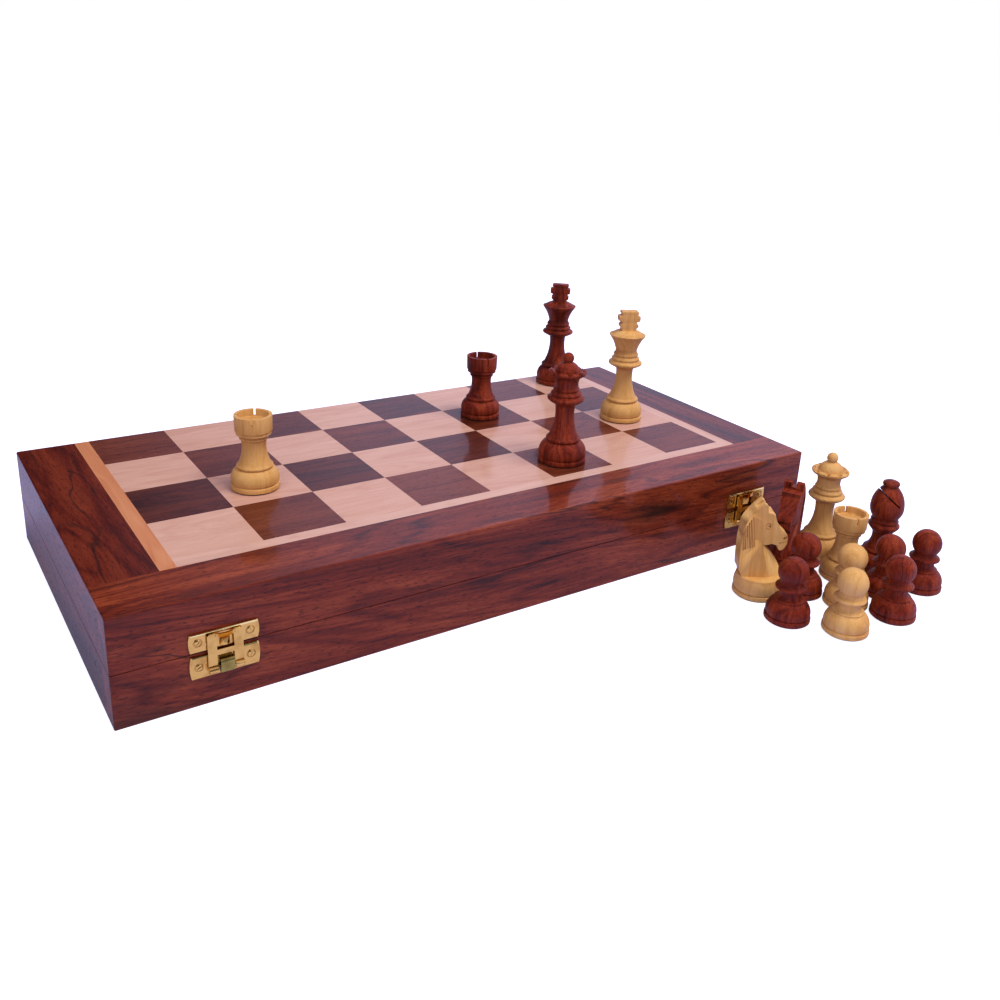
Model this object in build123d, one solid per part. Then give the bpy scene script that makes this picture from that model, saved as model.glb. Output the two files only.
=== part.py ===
"""Folding chess box with its men, in millimetres.

Two shallow halves are hinged along the back on the parting plane and latched in front. Closed, each
half shows half of the playing surface on its outside; unfolded by 180 degrees they make the whole
board. The origin is the centre of the lower half's playing surface, +X runs along the latched front,
+Y to the hinges and +Z up.
"""
import math
import os

from build123d import *

# Board
SQUARE = 41.5                # side of a playing square
FILES = 8                    # squares along X
RANKS = 4                    # squares along Y in one half
HINGE_TRIM = 2.25            # wood trued off the squares along the hinge edge
INLAY_WIDTH = 7.5            # pale strip round the squares
BORDER_WIDTH = 29.5          # rosewood border outside the strip
TILE = 3.0                   # thickness of squares, strips and border lip
PANEL = 3.5                  # ground board under the squares
RAIL_WALL = 12.0             # side walls of a half
HALF_HEIGHT = 26.0           # one half, playing surface to rim
PARTING_GAP = 0.4            # between the two rims when closed
EDGE_EASE = 0.8              # rounding of the outer edges

# Lining of the storage well
LINING = 1.0                 # cloth-covered pad on the ground board
LYING_CLEARANCE = 1.6        # above a lying man, below the upper half's foam
SLOT_PITCH = 44.0
SLOT_WIDTH = 30.0
FOAM_EDGE = 5.6              # strips along the well, at each side and in the middle

# Hinges
HINGE_OFFSET = 150.0         # hinge centre from the middle of the box
HINGE_LENGTH = 30.0
HINGE_KNUCKLES = 5
KNUCKLE_GAP = 0.2
LEAF_DEPTH = 9.5             # how far a leaf reaches over the rim
LEAF = 0.9                   # leaf thickness
BARREL_RADIUS = 2.0
BARREL_ROOM = 0.6            # free space round the barrel in the wood
PIN_RADIUS = 0.9
PIN_FIT = 0.05               # radial running clearance
PIN_PRESS = 0.01             # radial allowance where a pin is held
HINGE_SET_OUT = 0.25         # hinge axis outside the back face

# Latches
LATCH_OFFSET = 156.5         # latch centre from the middle of the box
PLATE_WIDTH = 30.4
PLATE = 0.8                  # sheet thickness of both plates
PLATE_BOW = 0.7              # swell of the plate's ends
LIP = 1.0                    # height of the thicker lip along a plate's top
LIP_OUT = 0.45               # how far the lip stands out of the plate
CATCH_HEIGHT = 8.7
CATCH_ABOVE_RIM = 0.7        # catch plate's lower edge above the upper rim
HASP_PLATE_HEIGHT = 10.6
HASP_PLATE_BELOW_RIM = 1.0
NOSE_WIDTH = 5.0
NOSE_HEIGHT = 4.6
NOSE_REACH = 2.2             # out of the catch plate
NOSE_ABOVE_FOOT = 0.7        # nose above the catch plate's lower edge
NOSE_POINT = 1.0             # width of its blunt point
NOSE_DROOP = 1.0             # how far the point lies below the nose's middle
HASP_WIDTH = 15.2
HASP_BAR = 3.9               # width of a side bar
HASP_SHEET = 0.9
HASP_STAND_OFF = 0.6         # hasp's back face in front of the plates
HASP_LENGTH = 17.1           # pivot to the top of the hasp
HASP_TOP_BAR = 1.7
HASP_CROSSBAR = 2.5
CROSSBAR_HEIGHT = 6.5        # crossbar's lower edge above the pivot
ARCH_RISE = 2.1              # swell of the top bar over the nose
ARCH_ROOT = 0.7              # how far the arch's inner side runs into a side bar
ARCH_SEAT = 1.1              # length of its flat seat on the side bar
HASP_CORNER = 1.2            # rounding of the hasp's upper corners
PIVOT_OUT = 2.5              # pivot in front of the box
PIVOT_UP = 3.2               # pivot above the hasp plate's lower edge
HASP_KNUCKLE = 1.5           # radius of the hasp's own eyes
HASP_PIN_RADIUS = 0.7
TONGUE_WIDTH = 6.0
TONGUE_OUT = 4.6
TONGUE_TOP = 4.9             # above the pivot
TONGUE_FOOT = 1.7            # below the pivot
TONGUE_ROUND = 1.5

# Screws
SCREW_FIT = 0.02             # radial allowance of a screw in its hole
HINGE_SCREW = (1.0, 1.8, 9.0)      # shank radius, head radius, length under the head's top
PLATE_SCREW = (0.9, 1.5, 7.0)
SCREW_DOME = 0.45            # dome of a plate screw's head
SCREW_SLOT = 0.45            # width of the driver slot
HINGE_SCREW_PITCH = 16.0
HINGE_SCREW_BACK = 5.9       # hinge screws in from the box's back
CATCH_SLOT_TURN = 50.0       # the screws' slots stand at uneven angles
HASP_SLOT_TURN = 35.0
PLATE_SCREW_PITCH = 22.4

# Men
KING_BASE = 13.5             # foot radii
QUEEN_BASE = 13.8
BISHOP_BASE = 12.9
KNIGHT_BASE = 12.9
ROOK_BASE = 12.4
PAWN_BASE = 12.0
GROOVE = 0.9                 # depth of the groove above the foot
CROSS_THICKNESS = 6.4
KNIGHT_THICKNESS = 11.0
MITRE_RADIUS = 9.3
MITRE_CUT = 0.8              # width of the bishop's saw cut
MITRE_CUT_ANGLE = 38.0       # its fall towards the front
MITRE_CUT_REACH = 5.5        # how far past the middle it goes
PAWN_BALL = 7.9              # radii of the balls
QUEEN_BALL = 3.2
TURRET_RADIUS = 9.6
TURRET_WALL = 1.7
TURRET_WELL = 3.8            # depth of the rook's hollow
ROOK_NOTCH = 1.1
QUEEN_NOTCHES = 9
QUEEN_NOTCH_RADIUS = 0.9

# Men on the board: (name, kind, squares from the left, squares from the front, facing in degrees)
MEN_ON_BOARD = (
    ("light_rook_near_corner", "rook", 1.441, 1.462, 20),
    ("dark_rook", "rook", 5.427, 2.568, 35),
    ("dark_queen", "queen", 5.458, 0.462, 0),
    ("light_king", "king", 7.381, 1.513, -28),
    ("dark_king", "king", 7.547, 3.517, -38),
)
# Men on the table: (name, kind, x from the box's right end, y from its front, facing in degrees)
MEN_ON_TABLE = (
    ("light_knight", "knight", -81.0, -46.6, -33),
    ("dark_knight", "knight", -48.0, -35.2, -152),
    ("light_queen", "queen", -10.9, -30.5, 10),
    ("light_rook_on_table", "rook", -22.4, -57.4, 15),
    ("dark_bishop", "bishop", 5.4, -60.5, -35),
    ("light_pawn_1", "pawn", -69.6, -98.2, 0),
    ("light_pawn_2", "pawn", -46.4, -79.6, 0),
    ("dark_pawn_1", "pawn", -87.5, -74.8, 0),
    ("dark_pawn_2", "pawn", -58.3, -58.2, 0),
    ("dark_pawn_3", "pawn", -17.4, -82.4, 0),
    ("dark_pawn_4", "pawn", -34.2, -101.0, 0),
    ("dark_pawn_5", "pawn", 7.2, -88.2, 0),
)
# The other half of the men, lying in the lower half: one list for each row of slots
STORED_ROWS = (
    ["light_pawns"] * 6 + ["light_knight"],
    ["light_bishops"] * 2 + ["dark_rook", "dark_knight", "dark_bishop"] + ["dark_pawns"] * 3,
)
REST_GAP = 0.05              # between a lying man and the lining

LENGTH = FILES * SQUARE + 2 * (INLAY_WIDTH + BORDER_WIDTH)
WIDTH = RANKS * SQUARE - HINGE_TRIM + INLAY_WIDTH + BORDER_WIDTH
HEIGHT = 2 * HALF_HEIGHT + PARTING_GAP
FRONT = -WIDTH / 2
BACK = WIDTH / 2
END = LENGTH / 2
SQUARES_END = FILES * SQUARE / 2
SQUARES_FRONT = FRONT + BORDER_WIDTH + INLAY_WIDTH
MID_HEIGHT = HEIGHT / 2
UPPER_RIM = HALF_HEIGHT + PARTING_GAP
HINGE_Y = BACK + HINGE_SET_OUT
WELL_END = END - RAIL_WALL
WELL_FRONT = FRONT + RAIL_WALL
WELL_BACK = BACK - RAIL_WALL
WELL_FLOOR = TILE + PANEL
FOAM_FLOOR = WELL_FLOOR + LINING
FOAM_HEIGHT = HEIGHT - 2 * (FOAM_FLOOR + BISHOP_BASE) - LYING_CLEARANCE
SLOT_LENGTH = (WELL_BACK - WELL_FRONT - 3 * FOAM_EDGE) / 2
HASP_PLATE_TOP = HALF_HEIGHT - HASP_PLATE_BELOW_RIM
HASP_PLATE_FOOT = HASP_PLATE_TOP - HASP_PLATE_HEIGHT
CATCH_FOOT = UPPER_RIM + CATCH_ABOVE_RIM
PIVOT_Y = FRONT - PIVOT_OUT
PIVOT_Z = HASP_PLATE_FOOT + PIVOT_UP
HASP_BACK = PLATE + HASP_STAND_OFF


def block(x_span, y_span, z_span):
    """A box between two limits on each axis."""
    spans = (x_span, y_span, z_span)
    sizes = [high - low for low, high in spans]
    return Pos(*(low for low, _ in spans)) * Box(*sizes, align=(Align.MIN,) * 3)


def rod(radius, x_span, y, z):
    """A cylinder along X between two limits."""
    axis = Plane(origin=(x_span[0], y, z), x_dir=(0, 1, 0), z_dir=(1, 0, 0))
    return extrude(axis * Circle(radius), x_span[1] - x_span[0])


def upper(shape):
    """The same shape in the upper half, mirrored in the parting plane."""
    return mirror(shape, Plane.XY.offset(MID_HEIGHT))


def outline_face(points, plane):
    """A flat face inside a closed outline given as (u, v) points on a plane."""
    return plane * make_face(Polyline(*points, close=True))


def write(node, *solids):
    """Write one node's solids to its STEP file."""
    shape = solids[0] if len(solids) == 1 else Compound(children=list(solids))
    export_step(shape, f"parts/{node}.step")


# Screws


def screw(sizes, dome, growth=0.0):
    """A screw pointing down, its head's rim at Z=0; growth makes the hole it sits in."""
    shank, head, length = (size + growth for size in sizes)
    sink = 0.0 if dome else head - shank
    steps = [(shank * 0.3, -length), (shank, -length + 1.5), (shank, -sink), (head, 0)]
    outline = [(0, -length), *steps, (0, 0)]
    body = revolve(outline_face(outline, Plane.XZ), Axis.Z)
    if dome:
        cap = Pos(0, 0, -head) * Sphere(math.hypot(head, head)) & Pos(0, 0, dome / 2) * Cylinder(head, dome)
        body += cap
    if not growth:
        body -= Pos(0, 0, dome) * Box(2 * head, SCREW_SLOT, 0.7)
    return body


def hinge_screw_places():
    """Heads of the two screws of each lower leaf, flush with its face and pointing into the wood."""
    y = BACK - HINGE_SCREW_BACK
    for centre in (-HINGE_OFFSET, HINGE_OFFSET):
        for side in (-HINGE_SCREW_PITCH / 2, HINGE_SCREW_PITCH / 2):
            yield Location((centre + side, y, HALF_HEIGHT))


def plate_screw_places(z, slot_turn):
    """Heads of the two screws of each latch plate at one height, pointing into the front rail."""
    for centre in (-LATCH_OFFSET, LATCH_OFFSET):
        for index, side in enumerate((-PLATE_SCREW_PITCH / 2, PLATE_SCREW_PITCH / 2)):
            turned_by = slot_turn * (index + 1) + centre
            yield Location((centre + side, FRONT - PLATE, z), (90, 0, 0)) * Rotation(0, 0, turned_by)


def lower_screw_holes(growth=SCREW_FIT):
    """Everything that the lower half's screws cut out of what they go through."""
    holes = [place * screw(HINGE_SCREW, 0.0, growth) for place in hinge_screw_places()]
    plate_z = HASP_PLATE_FOOT + HASP_PLATE_HEIGHT / 2
    return holes + [place * screw(PLATE_SCREW, 0.0, growth) for place in plate_screw_places(plate_z, HASP_SLOT_TURN)]


def upper_screw_holes(growth=SCREW_FIT):
    """Everything that the upper half's screws cut out of what they go through."""
    holes = [upper(place * screw(HINGE_SCREW, 0.0, growth)) for place in hinge_screw_places()]
    plate_z = CATCH_FOOT + CATCH_HEIGHT / 2
    return holes + [place * screw(PLATE_SCREW, 0.0, growth) for place in plate_screw_places(plate_z, CATCH_SLOT_TURN)]


# One half of the box, described playing surface down


def eased(rail, faces):
    """Round a rail's outer edges: those that lie on at least two of the given (axis, value) planes."""
    def on(edge, axis, value):
        box = edge.bounding_box()
        low, high = getattr(box.min, axis), getattr(box.max, axis)
        return abs(low - value) < 0.01 and abs(high - value) < 0.01

    edges = [e for e in rail.edges() if sum(on(e, axis, value) for axis, value in faces) >= 2]
    return fillet(edges, EDGE_EASE)


def front_rail():
    """Front wall and its border lip in one length of wood, end to end."""
    wall = block((-END, END), (FRONT, WELL_FRONT), (0, HALF_HEIGHT))
    lip = block((-END, END), (FRONT, FRONT + BORDER_WIDTH), (0, TILE))
    return eased(wall + lip, (("Y", FRONT), ("Z", 0), ("X", -END), ("X", END)))


def end_rail(side):
    """End wall and its border lip, butted on the front rail; side is -1 left or +1 right."""
    def across(near, far):
        return tuple(sorted((side * near, side * far)))

    wall = block(across(WELL_END, END), (WELL_FRONT, BACK), (TILE, HALF_HEIGHT))
    lip = block(across(END - BORDER_WIDTH, END), (FRONT + BORDER_WIDTH, BACK), (0, TILE))
    return eased(wall + lip, (("X", side * END), ("Z", 0)))


def back_rail(barrel_pockets):
    """Hinge wall between the end walls, under the squares."""
    wall = block((-WELL_END, WELL_END), (WELL_BACK, BACK), (TILE, HALF_HEIGHT))
    return wall - barrel_pockets


def hinge_pockets():
    """Mortises for the leaves and room for the barrels in the lower back rail and squares."""
    room = BARREL_RADIUS + BARREL_ROOM
    pockets = []
    for centre in (-HINGE_OFFSET, HINGE_OFFSET):
        along = (centre - HINGE_LENGTH / 2, centre + HINGE_LENGTH / 2)
        pockets.append(block(along, (BACK - LEAF_DEPTH, BACK + 1), (HALF_HEIGHT - LEAF, HALF_HEIGHT + 1)))
        wide = (along[0] - BARREL_ROOM, along[1] + BARREL_ROOM)
        pockets.append(block(wide, (HINGE_Y - room, BACK + 1), (MID_HEIGHT - room, HALF_HEIGHT + 1)))
    return pockets


def squares(parity):
    """The squares of one colour as separate tiles; the rank at the hinge edge is trimmed."""
    tiles = []
    for column in range(FILES):
        for rank in range(RANKS):
            if (column + rank) % 2 != parity:
                continue
            x = -SQUARES_END + column * SQUARE
            y = SQUARES_FRONT + rank * SQUARE
            tiles.append(block((x, x + SQUARE), (y, min(y + SQUARE, BACK)), (0, TILE)))
    return tiles


def inlay_strips():
    """Pale strips: two run the full depth at the ends, the front one fits between them."""
    strips = []
    for near, far in ((-SQUARES_END - INLAY_WIDTH, -SQUARES_END), (SQUARES_END, SQUARES_END + INLAY_WIDTH)):
        strips.append(block((near, far), (FRONT + BORDER_WIDTH, BACK), (0, TILE)))
    strips.append(block((-SQUARES_END, SQUARES_END), (FRONT + BORDER_WIDTH, SQUARES_FRONT), (0, TILE)))
    return strips


def well_slab(low, high):
    """A slab that fills the well between two heights."""
    return block((-WELL_END, WELL_END), (WELL_FRONT, WELL_BACK), (low, high))


def slot_centre(index, stagger):
    """X of a slot's middle; the two halves are staggered by half a pitch, so lying men interlock."""
    return (index - (FILES - 1) / 2) * SLOT_PITCH + stagger * SLOT_PITCH / 4


def row_spans():
    """Y limits of the two rows of slots."""
    front = WELL_FRONT + FOAM_EDGE
    back = front + SLOT_LENGTH + FOAM_EDGE
    return (front, front + SLOT_LENGTH), (back, back + SLOT_LENGTH)


def foam_strips(stagger):
    """Covered foam strips that part the well into two rows of slots."""
    heights = (FOAM_FLOOR, FOAM_FLOOR + FOAM_HEIGHT)
    rows = row_spans()
    breaks = (WELL_FRONT, rows[0][0]), (rows[0][1], rows[1][0]), (rows[1][1], WELL_BACK)
    strips = [block((-WELL_END, WELL_END), span, heights) for span in breaks]
    walls = [-WELL_END]
    for index in range(FILES):
        centre = slot_centre(index, stagger)
        walls += [centre - SLOT_WIDTH / 2, centre + SLOT_WIDTH / 2]
    walls.append(WELL_END)
    for row in rows:
        strips += [block((walls[i], walls[i + 1]), row, heights) for i in range(0, len(walls), 2)]
    return strips


def cut(shape, tools):
    """Cut several tools out of a shape, skipping those that do not reach it."""
    box = shape.bounding_box()
    for tool in tools:
        other = tool.bounding_box()
        if all(getattr(box.min, a) < getattr(other.max, a) and getattr(other.min, a) < getattr(box.max, a)
               for a in "XYZ"):
            shape = shape - tool
    return shape


def build_half(name, place, holes, light_parity, stagger):
    """Write the ten wooden and lining nodes of one half."""
    pockets = hinge_pockets()
    pieces = {
        "front_rail": [front_rail()],
        "back_rail": [back_rail(pockets)],
        "left_rail": [end_rail(-1)],
        "right_rail": [end_rail(1)],
        "ground_board": [well_slab(TILE, WELL_FLOOR)],
        "light_squares": squares(light_parity),
        "dark_squares": squares(1 - light_parity),
        "inlay_strips": inlay_strips(),
        "lining_pad": [well_slab(WELL_FLOOR, FOAM_FLOOR)],
        "foam_strips": foam_strips(stagger),
    }
    for node, shapes in pieces.items():
        write(f"{name}_{node}", *(cut(place(shape), holes) for shape in shapes))


# Hinges


def hinge_leaf(centre, held):
    """A lower leaf with the knuckles of one parity; held says that the pin is fixed in it."""
    start = centre - HINGE_LENGTH / 2
    pitch = HINGE_LENGTH / HINGE_KNUCKLES
    span = (start + KNUCKLE_GAP / 2, start + HINGE_LENGTH - KNUCKLE_GAP / 2)
    leaf = block(span, (BACK - LEAF_DEPTH + KNUCKLE_GAP, HINGE_Y), (HALF_HEIGHT - LEAF, HALF_HEIGHT))
    first = 0 if held else 1
    for index in range(HINGE_KNUCKLES):
        ends = (start + index * pitch + KNUCKLE_GAP / 2, start + (index + 1) * pitch - KNUCKLE_GAP / 2)
        if index % 2 == first:
            leaf += rod(BARREL_RADIUS, ends, HINGE_Y, MID_HEIGHT)
        else:
            gap = (ends[0] - KNUCKLE_GAP, ends[1] + KNUCKLE_GAP)
            room = BARREL_RADIUS + KNUCKLE_GAP
            leaf -= rod(room, gap, HINGE_Y, MID_HEIGHT)
    bore = PIN_RADIUS + (PIN_PRESS if held else PIN_FIT)
    return leaf - rod(bore, (start - 1, start + HINGE_LENGTH + 1), HINGE_Y, MID_HEIGHT)


def build_hinges():
    """Write leaves, pins and screws of both hinges."""
    centres = (-HINGE_OFFSET, HINGE_OFFSET)
    lower_holes, upper_holes = lower_screw_holes(), upper_screw_holes()
    write("lower_hinge_leaves", *(cut(hinge_leaf(c, False), lower_holes) for c in centres))
    write("upper_hinge_leaves", *(cut(upper(hinge_leaf(c, True)), upper_holes) for c in centres))
    half = HINGE_LENGTH / 2
    write("hinge_pins", *(rod(PIN_RADIUS, (c - half, c + half), HINGE_Y, MID_HEIGHT) for c in centres))
    screws = [place * screw(HINGE_SCREW, 0.0) for place in hinge_screw_places()]
    write("lower_hinge_screws", *screws)
    write("upper_hinge_screws", *(upper(s) for s in screws))


# Latches, described about their own middle: X across, the box front at Y=FRONT


def latch_plate(height):
    """A thin plate with bowed ends and a lip along its top, its lower edge at Z=0."""
    half = PLATE_WIDTH / 2
    bow = half - PLATE_BOW
    edge = [
        Line((-bow, 0), (bow, 0)),
        ThreePointArc((bow, 0), (half, height / 2), (bow, height)),
        Line((bow, height), (-bow, height)),
        ThreePointArc((-bow, height), (-half, height / 2), (-bow, 0)),
    ]
    face = Plane(origin=(0, FRONT, 0), x_dir=(1, 0, 0), z_dir=(0, -1, 0)) * make_face(edge)
    lip = block((-bow, bow), (FRONT - PLATE - LIP_OUT, FRONT - PLATE), (height - LIP, height))
    return extrude(face, PLATE) + lip


def nose():
    """The catch's blunt pyramid, on the catch plate's middle."""
    middle = CATCH_FOOT + NOSE_ABOVE_FOOT + NOSE_HEIGHT / 2
    out = Plane(origin=(0, FRONT - PLATE, middle), x_dir=(1, 0, 0), z_dir=(0, -1, 0))
    foot = out * Rectangle(NOSE_WIDTH, NOSE_HEIGHT)
    point = Rectangle(NOSE_POINT, NOSE_POINT * NOSE_HEIGHT / NOSE_WIDTH)
    return loft([foot, out.offset(NOSE_REACH) * Pos(0, -NOSE_DROOP) * point])


def tongue():
    """The hasp plate's tongue, curled forward over the pivot pin."""
    back = FRONT - PLATE
    block_out = block(
        (-TONGUE_WIDTH / 2, TONGUE_WIDTH / 2),
        (FRONT - TONGUE_OUT, back),
        (PIVOT_Z - TONGUE_FOOT, PIVOT_Z + TONGUE_TOP),
    )
    outer = [e for e in block_out.edges() | Axis.X if e.center().Y < back - 1]
    return fillet(outer, TONGUE_ROUND)


def hasp():
    """The swinging frame: two bars with eyes at the pivot, a crossbar and an arched top bar."""
    half = HASP_WIDTH / 2
    inner = half - HASP_BAR
    back, front = FRONT - HASP_BACK, FRONT - HASP_BACK - HASP_SHEET
    top = PIVOT_Z + HASP_LENGTH
    frame = None
    for side in (-1, 1):
        span = tuple(sorted((side * inner, side * half)))
        bar = block(span, (front, back), (PIVOT_Z, top))
        corner = [e for e in bar.edges() | Axis.Y if e.center().Z > PIVOT_Z and abs(e.center().X) > inner]
        corner = [e for e in corner if abs(abs(e.center().X) - half) < abs(abs(e.center().X) - inner)]
        bar = fillet(corner, HASP_CORNER) + rod(HASP_KNUCKLE, span, PIVOT_Y, PIVOT_Z)
        frame = bar if frame is None else frame + bar
    low = PIVOT_Z + CROSSBAR_HEIGHT
    frame += block((-inner, inner), (front, back), (low, low + HASP_CROSSBAR))
    root = inner + ARCH_ROOT
    seat = root + ARCH_SEAT
    arch = [
        ThreePointArc((-root, back), (0, back - ARCH_RISE), (root, back)),
        Line((root, back), (seat, back)),
        ThreePointArc((seat, back), (0, back - ARCH_RISE - HASP_SHEET), (-seat, back)),
        Line((-seat, back), (-root, back)),
    ]
    frame += extrude(Plane.XY.offset(top - HASP_TOP_BAR) * make_face(arch), HASP_TOP_BAR)
    return frame - rod(HASP_PIN_RADIUS + PIN_FIT, (-half - 1, half + 1), PIVOT_Y, PIVOT_Z)


def build_latches():
    """Write both latches: catch plates, hasp plates, hasps, pins and screws."""
    half = HASP_WIDTH / 2
    pin = rod(HASP_PIN_RADIUS, (-half, half), PIVOT_Y, PIVOT_Z)
    tongue_bore = rod(HASP_PIN_RADIUS + PIN_PRESS, (-half, half), PIVOT_Y, PIVOT_Z)
    catch = Pos(0, 0, CATCH_FOOT) * latch_plate(CATCH_HEIGHT) + nose()
    plate = Pos(0, 0, HASP_PLATE_FOOT) * latch_plate(HASP_PLATE_HEIGHT) + tongue() - tongue_bore
    lower_holes, upper_holes = lower_screw_holes(), upper_screw_holes()
    for name, x in (("left", -LATCH_OFFSET), ("right", LATCH_OFFSET)):
        write(f"{name}_catch_plate", cut(Pos(x, 0, 0) * catch, upper_holes))
        write(f"{name}_hasp_plate", cut(Pos(x, 0, 0) * plate, lower_holes))
        write(f"{name}_hasp", Pos(x, 0, 0) * hasp())
    write("hasp_pins", *(Pos(x, 0, 0) * pin for x in (-LATCH_OFFSET, LATCH_OFFSET)))
    catch_z = CATCH_FOOT + CATCH_HEIGHT / 2
    plate_z = HASP_PLATE_FOOT + HASP_PLATE_HEIGHT / 2
    head = screw(PLATE_SCREW, SCREW_DOME)
    write("catch_plate_screws", *(place * head for place in plate_screw_places(catch_z, CATCH_SLOT_TURN)))
    write("hasp_plate_screws", *(place * head for place in plate_screw_places(plate_z, HASP_SLOT_TURN)))


# Men, turned about Z with the foot's underside at Z=0


def turned(steps):
    """Turn an outline about Z.

    Each step is (radius, rise, swell): the outline goes to that radius, that much higher, and an
    arc swells out of the straight way there by the third number, or dips in where it is negative.
    """
    radius, height = 0.0, 0.0
    edges = []
    for next_radius, rise, swell in (*steps, (0.0, 0.0, 0.0)):
        here, there = Vector(radius, 0, height), Vector(next_radius, 0, height + rise)
        if swell:
            way = (there - here).normalized()
            middle = (here + there) / 2 + Vector(way.Z, 0, -way.X) * swell
            edges.append(ThreePointArc(here, middle, there))
        elif (there - here).length > 1e-6:
            edges.append(Line(here, there))
        radius, height = next_radius, height + rise
    edges.append(Line((0, 0, height), (0, 0, 0)))
    return revolve(Face(Wire(edges)), Axis.Z)


def foot(radius):
    """The foot disc with the thin groove above it."""
    return [
        (radius - 0.5, 0.0, 0),
        (radius, 0.5, 0),
        (radius, 2.3, 0),
        (radius - 0.3, 0.4, 0),
        (radius - GROOVE, 0.1, 0),
        (radius - GROOVE, 0.4, 0),
    ]


def disc(radius, thickness, swell=0.0, under=0.0):
    """A turned disc: out to its edge, then up it, swelling to its radius."""
    return [(radius - swell, under, 0), (radius - swell, thickness, swell)]


def ball(radius, neck):
    """A ball on a neck, closing the outline on the axis."""
    below = math.sqrt(radius**2 - neck**2)
    half_angle = (math.pi / 2 + math.asin(below / radius)) / 2
    return [(0.0, below + radius, radius * (1 - math.cos(half_angle)))]


def cap(radius, rise):
    """A shallow spherical cap that closes the outline on the axis."""
    sphere = (radius**2 + rise**2) / (2 * rise)
    return [(0.0, rise, sphere - math.sqrt(sphere**2 - (radius**2 + rise**2) / 4))]


def cross_finial(low):
    """The king's carved cross, standing on the dome at height low, broad face across X."""
    right = [
        (4.7, -1.5), (4.7, 1.2), (5.9, 2.1), (6.0, 3.5), (4.7, 4.5), (4.7, 5.3),
        (6.8, 5.9), (6.9, 9.0), (4.8, 9.5), (4.8, 10.3), (5.8, 10.9), (5.3, 12.2),
    ]
    left = [(-x, z) for x, z in reversed(right)]
    points = [(x, low + z) for x, z in right + left]
    shape = extrude(outline_face(points, Plane.XZ), CROSS_THICKNESS / 2, both=True)
    return chamfer(shape.edges().group_by(Axis.Z)[-1], 0.5)


def king():
    """Cross-topped cup over three collars."""
    steps = foot(KING_BASE)
    steps += [(KING_BASE - 0.5, 0.2, 0), (10.2, 8.2, 1.3)]
    steps += disc(10.3, 2.2, 0.9, 0.5) + [(8.7, 0.5, 0)]
    steps += [(5.4, 17.9, -1.3), (5.6, 1.3, 0), (9.4, 1.9, 0)]
    steps += disc(10.7, 2.2, 0.8, 0.3) + [(8.4, 0.7, 0)]
    steps += disc(8.9, 1.9, 0.6, 0.2) + [(7.2, 0.7, 0)]
    steps += disc(7.9, 1.9, 0.6, 0.2) + [(6.7, 1.6, 0)]
    steps += [(11.3, 9.6, -0.6), (11.5, 0.7, 0), (9.8, 0.6, 0), (4.6, 2.3, 0.4)]
    body = turned(steps)
    return body + cross_finial(body.bounding_box().max.Z + 0.2)


def queen():
    """Notched coronet with a dome and a ball over three collars."""
    steps = foot(QUEEN_BASE)
    steps += [(QUEEN_BASE - 0.4, 0.2, 0), (10.3, 8.4, 1.4)]
    steps += disc(9.9, 2.1, 0.9, 0.6) + [(8.5, 0.5, 0)]
    steps += [(5.6, 17.4, -1.3), (5.7, 1.3, 0), (9.2, 2.2, 0)]
    steps += disc(10.5, 2.2, 0.8, 0.5) + [(8.2, 0.7, 0)]
    steps += disc(8.7, 1.8, 0.6, 0.2) + [(7.1, 0.7, 0)]
    steps += disc(7.5, 1.7, 0.6, 0.2) + [(6.7, 0.9, 0)]
    steps += [(7.4, 5.0, -0.4), (10.2, 1.8, 0), (10.7, 1.5, 0.2), (9.5, 1.0, 0)]
    brim = sum(rise for _, rise, _ in steps)
    steps += [(7.0, -1.0, 0), (3.0, 5.2, 1.0), (2.4, 0.4, 0), *ball(QUEEN_BALL, 2.4)]
    body = turned(steps)
    for index in range(QUEEN_NOTCHES):
        notch = Cylinder(QUEEN_NOTCH_RADIUS, 6, rotation=(0, 90, 0))
        body -= Rotation(0, 0, 360 * index / QUEEN_NOTCHES) * Pos(11.5, 0, brim) * notch
    return body


def bishop():
    """Saw-cut mitre with a button over two collars."""
    steps = foot(BISHOP_BASE)
    steps += [(BISHOP_BASE - 0.4, 0.2, 0), (9.8, 7.4, 1.2)]
    steps += disc(9.4, 1.9, 0.8, 0.5) + [(7.9, 0.5, 0)]
    steps += [(5.6, 9.0, -1.0), (5.8, 0.6, 0), (8.0, 2.6, 0)]
    steps += disc(8.8, 2.2, 0.8, 0.3) + [(7.2, 0.7, 0)]
    steps += disc(7.8, 1.9, 0.6, 0.2) + [(6.9, 0.7, 0)]
    steps += [(MITRE_RADIUS, 8.0, 0.9), (4.2, 11.0, 1.2), (3.9, 0.4, 0)]
    steps += [(4.4, 0.5, 0), (4.5, 1.9, 0.3), *cap(4.5, 1.4)]
    blade = Box(20.0, 3 * MITRE_RADIUS, MITRE_CUT)
    saw = Pos(0, 0, 45.0) * Rotation(0, MITRE_CUT_ANGLE, 0) * Pos(MITRE_CUT_REACH - 10.0, 0, 0) * blade
    return turned(steps) - saw


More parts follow.
